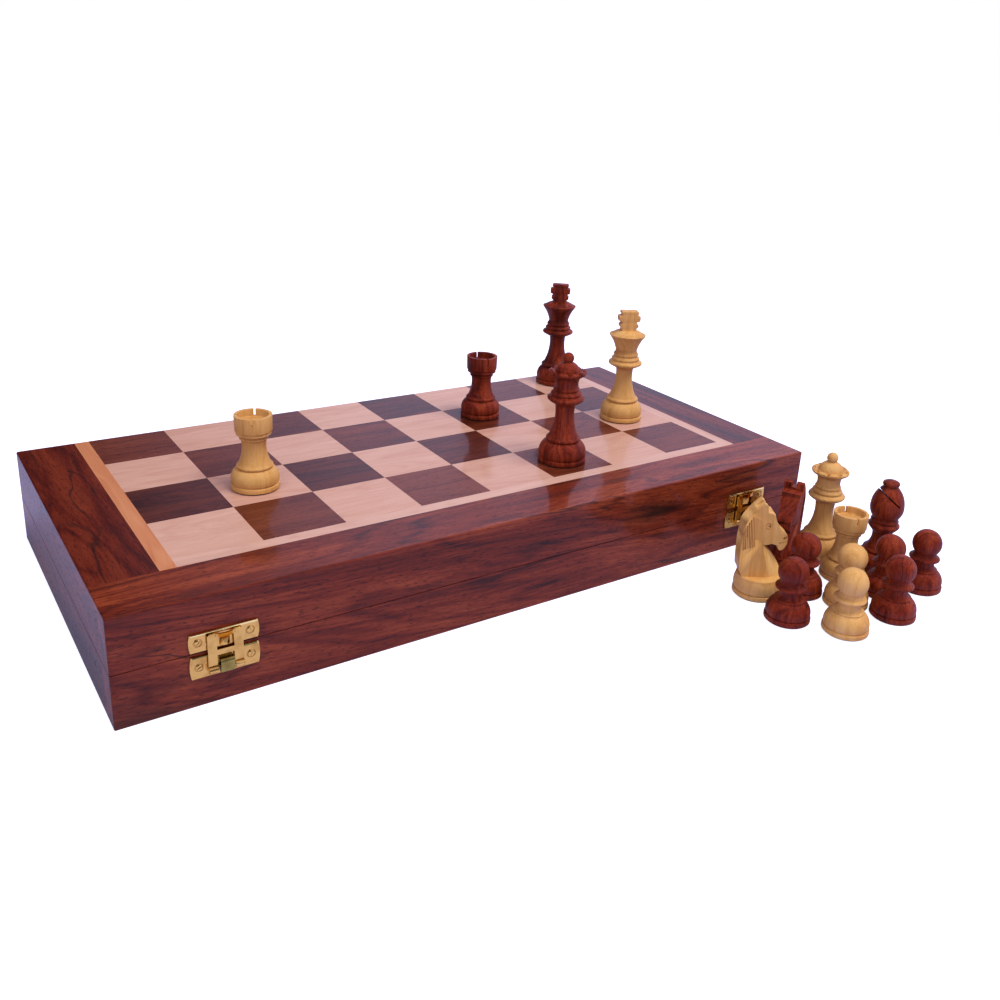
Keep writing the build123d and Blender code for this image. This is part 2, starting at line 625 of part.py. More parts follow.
def rook():
    """Hollow turret with four saw-cut notches."""
    steps = foot(ROOK_BASE)
    steps += [(ROOK_BASE - 0.4, 0.2, 0), (9.7, 7.3, 1.2)]
    steps += disc(9.4, 1.9, 0.8, 0.4) + [(8.3, 0.4, 0)]
    steps += [(6.3, 11.9, -0.9), (6.4, 0.8, 0)]
    steps += disc(7.3, 1.5, 0.5, 0.3) + [(6.5, 0.5, 0), (8.9, 1.0, 0.3), (8.7, 0.9, 0), (8.7, 0.3, 0)]
    steps += [(TURRET_RADIUS - 0.2, 0.6, 0), (TURRET_RADIUS, 8.2, 0)]
    body = turned(steps)
    top = body.bounding_box().max.Z
    body -= Pos(0, 0, top) * Cylinder(TURRET_RADIUS - TURRET_WALL, 2 * TURRET_WELL)
    for angle in (45, 135):
        notch = Box(3 * TURRET_RADIUS, ROOK_NOTCH, 2 * TURRET_WELL - 0.6)
        body -= Rotation(0, 0, angle) * Pos(0, 0, top) * notch
    return body


def knight():
    """A flat-carved horse's head on a turned foot, looking along +X."""
    steps = foot(KNIGHT_BASE)
    steps += [(KNIGHT_BASE - 0.4, 0.2, 0), (11.9, 7.4, 0.6), (11.2, 0.8, 0.3)]
    body = turned(steps)
    neck = body.bounding_box().max.Z - 0.5
    face = [
        Polyline((-10.6, neck), (-10.8, neck + 1.6), (-12.3, neck + 4.0)),
        ThreePointArc((-12.3, neck + 4.0), (-12.9, 30.0), (-11.8, 43.2)),
        ThreePointArc((-11.8, 43.2), (-7.8, 49.6), (-2.8, 54.8)),
        Polyline((-2.8, 54.8), (-1.1, 53.9), (-0.8, 50.1), (3.2, 49.2)),
        ThreePointArc((3.2, 49.2), (5.2, 44.4), (8.9, 39.2)),
        Polyline((8.9, 39.2), (11.7, 36.9), (12.3, 35.0), (12.1, 31.8), (11.0, 29.5)),
        ThreePointArc((11.0, 29.5), (9.2, 28.0), (7.4, 28.9)),
        Polyline((7.4, 28.9), (6.9, 31.0), (3.6, 32.1), (-1.2, 31.2)),
        ThreePointArc((-1.2, 31.2), (5.8, 24.4), (11.2, neck + 3.8)),
        Polyline((11.2, neck + 3.8), (10.8, neck), (-10.6, neck)),
    ]
    head = extrude(Plane.XZ * make_face(face), KNIGHT_THICKNESS / 2, both=True)
    return body + head


def pawn():
    """Ball on a single collar."""
    steps = foot(PAWN_BASE)
    steps += [(PAWN_BASE - 0.5, 0.2, 0), (8.1, 7.6, 1.3), (7.7, 0.2, 0), (7.7, 0.9, 0.4), (6.7, 0.4, 0)]
    steps += [(5.8, 4.2, -0.4), (7.0, 0.6, 0)]
    steps += disc(8.3, 1.7, 0.6, 0.3) + [(6.7, 0.5, 0), (5.9, 2.0, -0.2), *ball(PAWN_BALL, 5.9)]
    return turned(steps)


MAKERS = {"king": king, "queen": queen, "bishop": bishop, "knight": knight, "rook": rook, "pawn": pawn}
BASES = {"bishop": BISHOP_BASE, "knight": KNIGHT_BASE, "rook": ROOK_BASE, "pawn": PAWN_BASE}
# Where a lying man touches the lining near its head: (radius or half thickness, height)
HEAD_REST = {
    "bishop": (MITRE_RADIUS, 40.9),
    "knight": (KNIGHT_THICKNESS / 2, 52.0),
    "rook": (TURRET_RADIUS, 39.5),
    "pawn": (PAWN_BALL, 27.6),
}


def lying(kind, shape, x, row, towards_back):
    """Lay a man in its slot, touching the lining with its foot and its head."""
    head_radius, head_height = HEAD_REST[kind]
    droop = math.degrees(math.atan2(BASES[kind] - head_radius, head_height))
    laid = Rotation(0, 0, 0 if towards_back else 180) * Rotation(-90 - droop, 0, 0) * shape
    middle = laid.bounding_box().center()
    low = laid.bounding_box().min.Z
    return Pos(x - middle.X, (row[0] + row[1]) / 2 - middle.Y, FOAM_FLOOR + REST_GAP - low) * laid


def build_men():
    """Write the men that stand out of the box, and those that lie in its lower half."""
    shapes = {kind: make() for kind, make in MAKERS.items()}
    for name, kind, column, rank, facing in MEN_ON_BOARD:
        square = Pos(-SQUARES_END + column * SQUARE, SQUARES_FRONT + rank * SQUARE, HEIGHT)
        write(name, square * Rotation(0, 0, facing) * shapes[kind])
    for name, kind, x, y, facing in MEN_ON_TABLE:
        write(name, Pos(END + x, FRONT + y, 0) * Rotation(0, 0, facing) * shapes[kind])
    stored = {}
    for names, row in zip(STORED_ROWS, row_spans()):
        for index, name in enumerate(names):
            kind = name.split("_")[1].rstrip("s")
            man = lying(kind, shapes[kind], slot_centre(index, 1), row, index % 2 == 0)
            stored.setdefault(f"stored_{name}", []).append(man)
    for node, solids in stored.items():
        write(node, *solids)


os.makedirs("parts", exist_ok=True)
build_half("lower", lambda shape: shape, lower_screw_holes(), 1, 1)
build_half("upper", upper, upper_screw_holes(), 0, -1)
build_hinges()
build_latches()
build_men()
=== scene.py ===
"""Dressed model of a folding chess box with its men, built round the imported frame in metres."""

import logging
import math
from contextlib import contextmanager
from dataclasses import dataclass
from enum import Enum, IntEnum
from typing import Iterable, Iterator, Sequence

import bmesh
import bpy
from mathutils import Matrix, Vector


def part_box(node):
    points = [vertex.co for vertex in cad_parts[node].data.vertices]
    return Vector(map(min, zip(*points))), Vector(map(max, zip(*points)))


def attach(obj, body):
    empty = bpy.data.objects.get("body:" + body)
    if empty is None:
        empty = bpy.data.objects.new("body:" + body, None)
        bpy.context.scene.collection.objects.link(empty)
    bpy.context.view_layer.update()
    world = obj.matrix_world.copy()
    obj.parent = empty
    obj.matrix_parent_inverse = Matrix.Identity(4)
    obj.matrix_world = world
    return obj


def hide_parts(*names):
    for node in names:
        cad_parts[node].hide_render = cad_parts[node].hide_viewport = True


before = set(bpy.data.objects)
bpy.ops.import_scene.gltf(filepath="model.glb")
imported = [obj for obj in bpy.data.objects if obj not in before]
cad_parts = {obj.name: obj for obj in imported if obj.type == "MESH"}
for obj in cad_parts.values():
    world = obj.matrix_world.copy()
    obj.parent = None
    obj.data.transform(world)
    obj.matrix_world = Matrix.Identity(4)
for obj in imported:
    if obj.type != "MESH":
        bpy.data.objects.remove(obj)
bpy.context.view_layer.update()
log = logging.getLogger("chess_box")

MM = 0.001
Point = tuple[float, float]
Place = tuple[float, float, float]
Step = tuple[float, float, float]
Span = tuple[float, float]
Colour = tuple[int, int, int]
Tones = tuple[Colour, Colour, Colour]
Piece = bpy.types.Object
Node = bpy.types.Node
Socket = bpy.types.NodeSocket
Tree = bpy.types.NodeTree
Material = bpy.types.Material


# Working with meshes. Sizes and outlines are in millimetres, vectors and matrices in metres.


def only(*pieces: Piece) -> None:
    """Select these pieces alone, the first one active.

    Args:
        pieces: what is selected.
    """
    bpy.ops.object.select_all(action="DESELECT")
    for piece in pieces:
        piece.select_set(True)
    bpy.context.view_layer.objects.active = pieces[0]


@contextmanager
def editing(piece: Piece) -> Iterator[None]:
    """Edit mode on one piece alone, all of its vertices selected.

    Args:
        piece: the object whose mesh is worked on.

    Returns:
        A context in which mesh operators act on the piece.
    """
    only(piece)
    bpy.ops.object.mode_set(mode="EDIT")
    bpy.ops.mesh.select_mode(type="VERT")
    bpy.ops.mesh.select_all(action="SELECT")
    try:
        yield
    finally:
        bpy.ops.object.mode_set(mode="OBJECT")


def newest(name: str) -> Piece:
    """Name the object that an operator has just added, and return it.

    Args:
        name: the object's new name.

    Returns:
        The object.
    """
    piece = bpy.context.view_layer.objects.active
    piece.name = piece.data.name = name
    return piece


def at(place: Vector | Place, turn: float = 0.0, axis: str = "Z") -> Matrix:
    """A place in metres, turned by so many degrees about one axis."""
    return Matrix.Translation(place) @ Matrix.Rotation(math.radians(turn), 4, axis)


def spans_of(node: str) -> list[Span]:
    """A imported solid's spans on X, Y and Z."""
    return [(low / MM, high / MM) for low, high in zip(*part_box(node))]


def top_of(piece: Piece) -> float:
    """Height of a piece's highest point."""
    return max(vertex.co.z for vertex in piece.data.vertices) / MM


def block(name: str, x: Span, y: Span, z: Span, ease: float = 0.0, rounds: int = 2) -> Piece:
    """A cube drawn out to three spans, its edges eased.

    Args:
        name: the piece's name.
        x: lowest and highest X.
        y: lowest and highest Y.
        z: lowest and highest Z.
        ease: width of the eased edges.
        rounds: segments across each eased edge.

    Returns:
        The finished block, its object at the origin.
    """
    bpy.ops.object.select_all(action="DESELECT")
    bpy.ops.mesh.primitive_cube_add(size=1.0)
    piece = newest(name)
    with editing(piece):
        bpy.ops.transform.resize(value=tuple((high - low) * MM for low, high in (x, y, z)))
        bpy.ops.transform.translate(value=tuple((high + low) / 2 * MM for low, high in (x, y, z)))
        if ease:
            bpy.ops.mesh.bevel(offset=ease * MM, offset_type="OFFSET", segments=rounds, affect="EDGES")
    return piece


def cylinder(name: str, radius: float, depth: float, sides: int) -> Piece:
    """A cylinder about Z, its middle at the origin.

    Args:
        name: the piece's name.
        radius: its radius.
        depth: its length.
        sides: its number of sides.

    Returns:
        The cylinder.
    """
    bpy.ops.object.select_all(action="DESELECT")
    bpy.ops.mesh.primitive_cylinder_add(vertices=sides, radius=radius * MM, depth=depth * MM)
    return newest(name)


def ring(name: str, radius: float, thick: float, sides: int) -> Piece:
    """A round-wire ring about Z, its middle at the origin.

    Args:
        name: the piece's name.
        radius: radius of its centre line.
        thick: radius of its wire.
        sides: segments round the ring.

    Returns:
        The ring.
    """
    bpy.ops.object.select_all(action="DESELECT")
    bpy.ops.mesh.primitive_torus_add(major_radius=radius * MM, minor_radius=thick * MM, major_segments=sides,
                                     minor_segments=8)
    return newest(name)


def chain(name: str, points: Sequence[Vector]) -> Piece:
    """A string of edges drawn point by point, in metres.

    Args:
        name: the piece's name.
        points: the places along the string.

    Returns:
        A mesh of edges only.
    """
    bpy.ops.object.select_all(action="DESELECT")
    bpy.ops.mesh.primitive_plane_add(size=0.002)
    piece = newest(name)
    with editing(piece):
        bpy.ops.mesh.merge(type="CENTER")
        bpy.ops.transform.translate(value=points[0])
        for here, there in zip(points, points[1:]):
            bpy.ops.mesh.extrude_vertices_move(TRANSFORM_OT_translate={"value": there - here})
    return piece


def close_up(merge: float) -> None:
    """Merge doubles within so many metres and turn all faces outwards, in edit mode.

    Args:
        merge: vertices closer than this become one.
    """
    bpy.ops.mesh.select_all(action="SELECT")
    bpy.ops.mesh.remove_doubles(threshold=merge)
    bpy.ops.mesh.normals_make_consistent(inside=False)


def plate_from(name: str, points: Sequence[Vector], thickness: Vector) -> Piece:
    """A flat outline filled and drawn out to a thickness.

    Args:
        name: the piece's name.
        points: the outline in order, in metres, not closed.
        thickness: the way and length of the extrusion.

    Returns:
        A closed plate.
    """
    piece = chain(name, points)
    with editing(piece):
        bpy.ops.mesh.edge_face_add()
        bpy.ops.mesh.extrude_region_move(TRANSFORM_OT_translate={"value": thickness})
        close_up(1e-6)
    return piece


def lathe(name: str, outline: Iterable[Point], steps: int) -> Piece:
    """Spin an outline about Z.

    Args:
        name: the piece's name.
        outline: (radius, height) points, from the axis at the foot to the axis at the top.
        steps: segments round the turn.

    Returns:
        The turned piece, closed, faces outwards.
    """
    piece = chain(name, [Vector((radius * MM, 0, height * MM)) for radius, height in outline])
    with editing(piece):
        bpy.ops.mesh.spin(steps=steps, angle=math.tau, center=(0, 0, 0), axis=(0, 0, 1))
        close_up(2e-6)
    return piece


def moved(piece: Piece, matrix: Matrix) -> Piece:
    """Move a piece's mesh, its object staying at the origin.

    Args:
        piece: what is moved.
        matrix: the move.

    Returns:
        The piece.
    """
    piece.data.transform(matrix)
    piece.data.update()
    piece.update_tag()
    bpy.context.view_layer.update()
    return piece


def copied(piece: Piece, name: str, matrix: Matrix) -> Piece:
    """A copy of a piece with its own mesh, moved to its place.

    Args:
        piece: the piece that is modelled once.
        name: the copy's name.
        matrix: the copy's place.

    Returns:
        The copy.
    """
    twin = piece.copy()
    twin.data = piece.data.copy()
    twin.name = twin.data.name = name
    bpy.context.scene.collection.objects.link(twin)
    return moved(twin, matrix)


def joined(name: str, pieces: Sequence[Piece]) -> Piece:
    """Join pieces into one mesh under a new name.

    Args:
        name: the new name.
        pieces: what is joined.

    Returns:
        The joined piece.
    """
    only(*pieces)
    if len(pieces) > 1:
        bpy.ops.object.join()
    return newest(name)


def carve(piece: Piece, cutters: Iterable[Piece], join: bool = False) -> None:
    """Cut closed shapes out of a piece, or join them to it, and remove them.

    The work is done a thousand times larger, because the operator loses small cuts.

    Args:
        piece: what is cut.
        cutters: the closed shapes.
        join: True joins the shapes instead.
    """
    moved(piece, Matrix.Scale(1 / MM, 4))
    for cutter in cutters:
        moved(cutter, Matrix.Scale(1 / MM, 4))
        only(piece)
        work = piece.modifiers.new("carve", "BOOLEAN")
        work.operation = "UNION" if join else "DIFFERENCE"
        work.solver = "MANIFOLD"
        work.object = cutter
        bpy.ops.object.modifier_apply(modifier=work.name)
        bpy.data.objects.remove(cutter)
    moved(piece, Matrix.Scale(MM, 4))


def soften(piece: Piece, width: float, segments: int = 2, angle: float = 35.0) -> None:
    """Ease a piece's sharp edges and shade it smooth.

    Args:
        piece: what is eased.
        width: width of the eased edge.
        segments: segments across it.
        angle: edges sharper than this many degrees are eased.
    """
    only(piece)
    if width:
        work = piece.modifiers.new("ease", "BEVEL")
        work.width = width * MM
        work.segments = segments
        work.limit_method = "ANGLE"
        work.angle_limit = math.radians(angle)
        work.use_clamp_overlap = True
        bpy.ops.object.modifier_apply(modifier=work.name)
    bpy.ops.object.shade_smooth_by_angle(angle=math.radians(angle))


def mark_hollows(piece: Piece, rounds: int = 2, narrow: float = 1.3) -> None:
    """Store how hollow the surface is at each corner, where the colour gets darker: painted shade in the hollows, and
    on the men gathered staining and polish as well.

    Args:
        piece: the piece whose mesh gets the attribute "hollow".
        rounds: passes of smoothing along the edges.
        narrow: faces wider than this get no darkening.
    """
    gain, keep, spread = 2.2, 0.5, 0.4
    work = bmesh.new()
    work.from_mesh(piece.data)
    near = [[edge.other_vert(v).index for edge in v.link_edges] for v in work.verts]
    places = [v.co.copy() for v in work.verts]
    values = []
    for v, others in zip(work.verts, near):
        if not others:
            values.append(0.0)
            continue
        middle = sum((places[i] for i in others), Vector()) / len(others)
        reach = sum((places[i] - v.co).length for i in others) / len(others)
        values.append(max(0.0, (middle - v.co).dot(v.normal) / max(reach, 1e-6)) * gain)
    for _ in range(rounds):
        values = [keep * value + spread * max([values[i] for i in others] or [0.0])
                  for value, others in zip(values, near)]
    corners = []
    for face in work.faces:
        slim = face.calc_area() < narrow * MM * max(edge.calc_length() for edge in face.edges)
        corners += [min(1.0, values[v.index]) if slim else 0.0 for v in face.verts]
    work.free()
    piece.data.attributes.new("hollow", "FLOAT", "CORNER").data.foreach_set("value", corners)


def dress(piece: Piece, *materials: Material | None) -> None:
    """Give a piece these materials, in slot order, keeping its faces' slot numbers.

    Args:
        piece: what is dressed.
        materials: the material of each slot, or None for an empty one.
    """
    while len(piece.data.materials) < len(materials):
        piece.data.materials.append(None)
    for index, material in enumerate(materials):
        piece.data.materials[index] = material


# Finishes


def tone(colour: Colour) -> tuple[float, float, float, float]:
    """A colour written in 0 to 255 steps, as the four light values that a socket takes.

    Args:
        colour: red, green and blue from 0 to 255.

    Returns:
        The four numbers of the socket.
    """
    parts = [step / 255 for step in colour]
    light = [part / 12.92 if part <= 0.04045 else ((part + 0.055) / 1.055) ** 2.4 for part in parts]
    return (*light, 1.0)


class Wiring:
    """Adds nodes to one node tree and links them."""

    def __init__(self, tree: Tree) -> None:
        """Work on this tree."""
        self.tree = tree

    def set(self, socket: Socket, value: object) -> None:
        """Link a socket to another, or set its value.

        Args:
            socket: the input socket.
            value: an output socket, or a value.
        """
        if isinstance(value, Socket):
            self.tree.links.new(value, socket)
        else:
            socket.default_value = value

    def fill(self, node: Node, **values: object) -> Node:
        """Set or link input sockets by name, or by number as in_0, in_1.

        Args:
            node: the node.
            values: sockets to link or values, by input.

        Returns:
            The node.
        """
        for key, value in values.items():
            label = int(key[3:]) if key.startswith("in_") else key.replace("_", " ")
            self.set(node.inputs[label], value)
        return node

    def add(self, kind: str, settings: dict[str, object] | None = None, **values: object) -> Node:
        """Add a node.

        Args:
            kind: the node's type without "ShaderNode".
            settings: attributes of the node itself.
            values: input sockets as in fill().

        Returns:
            The node.
        """
        node = self.tree.nodes.new("ShaderNode" + kind)
        for key, value in (settings or {}).items():
            setattr(node, key, value)
        return self.fill(node, **values)

    def maths(self, how: str, first: object, second: object) -> Socket:
        """The result of one Math node."""
        return self.add("Math", {"operation": how}, in_0=first, in_1=second).outputs[0]

    def times(self, first: object, second: object) -> Socket:
        """Two values multiplied."""
        return self.maths("MULTIPLY", first, second)

    def plus(self, first: object, second: object) -> Socket:
        """Two values added."""
        return self.maths("ADD", first, second)

    def minus(self, first: object, second: object) -> Socket:
        """The second value taken from the first."""
        return self.maths("SUBTRACT", first, second)

    def off_middle(self, value: object) -> Socket:
        """How far a value lies from 0.5."""
        return self.maths("ABSOLUTE", self.minus(value, 0.5), 0.0)

    def vectors(self, how: str, first: object, second: object) -> Socket:
        """The result of one Vector Math node."""
        return self.add("VectorMath", {"operation": how}, in_0=first, in_1=second).outputs[0]

    def parts(self, vector: object) -> Sequence[Socket]:
        """The X, Y and Z of a vector."""
        return self.add("SeparateXYZ", Vector=vector).outputs

    def noise(self, vector: object, scale: float, detail: float, rough: float = 0.5) -> Socket:
        """The value of one noise."""
        return self.add("TexNoise", Vector=vector, Scale=scale, Detail=detail, Roughness=rough).outputs["Fac"]

    def ramped(self, value: object, low: float, high: float, to: Span = (0.0, 1.0)) -> Socket:
        """A value spread from the range low to high to another one, and clamped."""
        node = self.add("MapRange", {"clamp": True}, in_0=value, in_1=low, in_2=high, in_3=to[0], in_4=to[1])
        return node.outputs[0]

    def mixed(self, mask: object, first: object, second: object) -> Socket:
        """Two colours mixed: the mask, 0 to 1, says how much of the second."""
        return self.add("Mix", {"data_type": "RGBA", "clamp_factor": True}, in_0=mask, in_6=first,
                        in_7=second).outputs[2]

    def hollow_stain_and_shade(self, colour: Socket, hollow_tone: Colour, full: float, share: float = 1.0) -> Socket:
        """A colour darkened in the hollows: painted shade, and on the men gathered staining as well.

        Args:
            colour: the colour without the darkening.
            hollow_tone: the darker colour mixed into the hollows.
            full: how hollow the surface is where the darkening is full.
            share: how much of the full darkening is left.

        Returns:
            The colour socket.
        """
        hollow = self.add("Attribute", {"attribute_name": "hollow"}).outputs["Fac"]
        return self.mixed(self.times(self.ramped(hollow, 0.05, full), share), colour, tone(hollow_tone))

    def bump(self, shader: Node, height: object, strength: float, distance: float) -> None:
        """Give a shader a bump from a height."""
        node = self.add("Bump", Height=height, Strength=strength, Distance=distance)
        self.set(shader.inputs["Normal"], node.outputs[0])


def new_material(name: str) -> tuple[Material, Wiring, Node]:
    """Start a material, and return it with its wiring and its Principled node.

    Args:
        name: the material's name.

    Returns:
        The material, its wiring and its shader.
    """
    material = bpy.data.materials.new(name)
    material.use_nodes = True
    return material, Wiring(material.node_tree), material.node_tree.nodes["Principled BSDF"]


def new_group(name: str, inputs: Iterable[tuple[str, str]], outputs: Iterable[str]) -> tuple[Wiring, Node, Node]:
    """Start a shader node group.

    Args:
        name: the group's name.
        inputs: (name, "Float" or "Vector") of each input.
        outputs: names of the outputs, each a value.

    Returns:
        The wiring of the group, its Group Input node and its Group Output node.
    """
    tree = bpy.data.node_groups.new(name, "ShaderNodeTree")
    for label, kind in inputs:
        tree.interface.new_socket(label, in_out="INPUT", socket_type="NodeSocket" + kind)
    for label in outputs:
        tree.interface.new_socket(label, in_out="OUTPUT", socket_type="NodeSocketFloat")
    return Wiring(tree), tree.nodes.new("NodeGroupInput"), tree.nodes.new("NodeGroupOutput")


def wood_figure_group() -> Tree:
    """Growth figure, dark streaks and pores of wood whose grain runs along X of the vector.

    Returns:
        The group: Vector is in figure widths, Seed moves the pattern, and Figure, Streak and Pore
        come out as values from 0 to 1.
    """
    seed_steps, wander_by, ring_count = (7.3, 13.1, 5.7), 3.4, 11.0
    broad_share, ring_share, fibre_share = 0.42, 0.22, 0.36
    w, given, out = new_group("wood_figure", [("Vector", "Vector"), ("Seed", "Float")], ["Figure", "Streak", "Pore"])
    seed = w.vectors("MULTIPLY", w.add("CombineXYZ", **{axis: given.outputs["Seed"] for axis in "XYZ"}).outputs[0],
                     seed_steps)
    place = w.vectors("ADD", given.outputs["Vector"], seed)
    drift = w.add("TexNoise", Vector=place, Scale=0.32, Detail=2.0).outputs["Color"]
    shift = w.vectors("MULTIPLY", w.vectors("SUBTRACT", drift, (0.5, 0.5, 0.5)), (wander_by,) * 3)
    wander = w.vectors("ADD", place, shift)
    broad = w.noise(wander, 0.8, 4.0, 0.6)
    level = w.maths("FRACT", w.times(w.noise(wander, 0.34, 1.0), ring_count), 0.0)
    rings = w.ramped(w.off_middle(level), 0.28, 0.5, (ring_share, 0.0))
    fibre = w.noise(w.vectors("MULTIPLY", wander, (3.0, 9.0, 9.0)), 1.0, 4.0, 0.75)
    grown = w.plus(w.ramped(broad, 0.32, 0.68, (0.0, broad_share)), rings)
    w.set(out.inputs["Figure"], w.plus(grown, w.ramped(fibre, 0.34, 0.66, (0.0, fibre_share))))
    lines = w.noise(w.vectors("ADD", wander, (4.2, 9.1, 2.7)), 0.45, 4.0)
    thin = w.times(w.ramped(w.off_middle(lines), 0.0, 0.016, (0.9, 0.0)), w.ramped(broad, 0.4, 0.6))
    w.set(out.inputs["Streak"], w.maths("MAXIMUM", thin, w.ramped(lines, 0.57, 0.68)))
    fine = w.noise(w.vectors("MULTIPLY", place, (34.0, 24.0, 24.0)), 1.0, 1.0)
    w.set(out.inputs["Pore"], w.ramped(fine, 0.58, 0.7))
    return w.tree


def tile_group(square: float, left: float, front: float) -> Tree:
    """Two random values for each square of the board.

    Args:
        square: side of a square in metres.
        left: X of the squares' left edge.
        front: Y of their front edge.

    Returns:
        The group, from Vector to Lot and Other, two values from 0 to 1.
    """
    w, given, out = new_group("tile_lot", [("Vector", "Vector")], ["Lot", "Other"])
    parts = w.parts(given.outputs["Vector"])
    column, rank = (w.maths("FLOOR", w.maths("DIVIDE", w.minus(part, edge), square), 0.0)
                    for part, edge in ((parts[0], left), (parts[1], front)))
    level = w.maths("GREATER_THAN", parts[2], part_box("upper_front_rail")[0].z)
    cell = w.add("CombineXYZ", X=column, Y=rank, Z=level)
    chance = w.add("TexWhiteNoise", {"noise_dimensions": "3D"}, Vector=cell.outputs[0])
    w.set(out.inputs["Lot"], chance.outputs["Value"])
    w.set(out.inputs["Other"], w.parts(chance.outputs["Color"])[1])
    return w.tree


class Grain(Enum):
    """The way the grain runs, as the order of the three axes."""

    ALONG_X = (0, 1, 2)
    ALONG_Y = (1, 0, 2)
    ALONG_Z = (2, 1, 0)

    def ordered(self, w: Wiring, vector: Socket, along: float, across: float) -> Socket:
        """A vector stretched along and across the grain, with the grain's axis first.

        Args:
            w: the material's wiring.
            vector: the place.
            along: stretch along the grain.
            across: stretch across it.

        Returns:
            The stretched vector.
        """
        stretch = [across] * 3
        stretch[self.value[0]] = along
        parts = w.parts(w.vectors("MULTIPLY", vector, tuple(stretch)))
        return w.add("CombineXYZ", **{axis: parts[index] for axis, index in zip("XYZ", self.value)}).outputs[0]


class Polish(Enum):
    """How a wooden surface is finished: (roughness, coat weight, coat roughness, specular level)."""

    LACQUER = (0.42, 0.28, 0.09, 0.08)
    WAX = (0.5, 0.04, 0.2, 0.14)
    BARE = (0.7, 0.0, 0.3, 0.2)


@dataclass(frozen=True)
class Wood:
    """A wood: its colours, the run and size of its figure, and its polish.

    along and across are figure widths in a metre, and tilt is in degrees. Beyond ends_from metres from
    the middle the grain runs along Y, and on the left it has left_tones.
    """

    name: str
    tones: Tones
    grain: Grain = Grain.ALONG_X
    polish: Polish = Polish.LACQUER
    along: float = 7.0
    across: float = 60.0
    streak: float = 0.0
    streak_colour: Colour = (28, 12, 8)
    pore: float = 0.25
    tilt: Place = (0.0, 0.0, 0.0)
    tiles: float = 0.0
    # Colour mixed into the hollows: gathered staining and painted shade.
    stain_and_shade_colour: Colour | None = None
    hollow: float = 0.0
    ends_from: float = 0.0
    left_tones: Tones | None = None

    def ramp(self, w: Wiring, shade: Socket, tones: Tones) -> Socket:
        """Colour a shade from 0 to 1 by three tones, dark, middle and pale.

        Args:
            w: the material's wiring.
            shade: the shade.
            tones: the three tones.

        Returns:
            The colour socket.
        """
        node = w.add("ValToRGB", Fac=shade)
        steps = node.color_ramp.elements
        steps[0].color, steps[0].position = tone(tones[0]), 0.12
        steps[1].color, steps[1].position = tone(tones[2]), 0.88
        steps.new(0.5).color = tone(tones[1])
        return node.outputs["Color"]

    def make(self, figure: Tree, tile: Tree) -> Material:
        """Build the material on Object coordinates.

        Args:
            figure: the wood figure group.
            tile: the group that gives each square its lot.

        Returns:
            The material.
        """
        material, w, shader = new_material(self.name)
        place = w.add("TexCoord").outputs["Object"]
        turned = w.add("Mapping", Vector=place, Rotation=tuple(math.radians(a) for a in self.tilt))
        grain = self.grain.ordered(w, turned.outputs[0], self.along, self.across)
        across = w.parts(place)[0]
        if self.ends_from:
            end = w.maths("GREATER_THAN", w.maths("ABSOLUTE", across, 0.0), self.ends_from)
            other = Grain.ALONG_Y.ordered(w, place, self.along, self.across)
            grain = w.add("Mix", {"data_type": "VECTOR"}, in_0=end, in_4=grain, in_5=other).outputs[1]
        grown = w.add("Group", {"node_tree": figure}, Vector=grain)
        shade, pore = grown.outputs["Figure"], grown.outputs["Pore"]
        if self.tiles:
            lots = w.add("Group", {"node_tree": tile}, Vector=place)
            w.set(grown.inputs["Seed"], w.times(lots.outputs["Other"], 9.0))
            lift = w.times(w.minus(lots.outputs["Lot"], 0.5), self.tiles)
            shade = w.add("Math", {"operation": "ADD", "use_clamp": True}, in_0=shade, in_1=lift).outputs[0]
        colour = self.ramp(w, shade, self.tones)
        if self.left_tones:
            left = w.maths("LESS_THAN", across, -self.ends_from)
            colour = w.mixed(left, colour, self.ramp(w, shade, self.left_tones))
        if self.streak:
            colour = w.mixed(w.times(grown.outputs["Streak"], self.streak), colour, tone(self.streak_colour))
        colour = w.mixed(w.times(pore, self.pore), colour, tone(self.tones[0]))
        # Darker hollows: partly gathered staining, partly painted shade.
        if self.stain_and_shade_colour:
            colour = w.hollow_stain_and_shade(colour, self.stain_and_shade_colour, 0.75, self.hollow)
        rough, coat, coat_rough, level = self.polish.value
        w.fill(shader, Base_Color=colour, Roughness=w.ramped(pore, 0.0, 1.0, (rough, rough + 0.16)),
               Specular_IOR_Level=level, Coat_Weight=coat, Coat_Roughness=coat_rough)
        w.bump(shader, w.minus(w.times(grown.outputs["Figure"], 0.3), pore), 0.12, 0.0002)
        return material


@dataclass(frozen=True)
class Metal:
    """A metal with rubbed and dulled patches."""

    name: str
    colour: Colour
    dull: Colour
    roughness: Span
    # Colour painted into the hollows as shade.
    stain_and_shade_colour: Colour | None = None

    def make(self) -> Material:
        """Build the material on Object coordinates.

        Returns:
            The material.
        """
        material, w, shader = new_material(self.name)
        place = w.add("TexCoord").outputs["Object"]
        patch = w.noise(place, 220.0, 4.0)
        brush = w.noise(w.vectors("MULTIPLY", place, (300.0, 3000.0, 6000.0)), 1.0, 2.0)
        colour = w.mixed(w.ramped(patch, 0.45, 0.75), tone(self.colour), tone(self.dull))
        # Painted shade in the hollows.
        if self.stain_and_shade_colour:
            colour = w.hollow_stain_and_shade(colour, self.stain_and_shade_colour, 0.6)
        w.fill(shader, Base_Color=colour, Roughness=w.ramped(patch, 0.35, 0.7, self.roughness), Metallic=1.0)
        w.bump(shader, brush, 0.08, 0.0001)
        return material


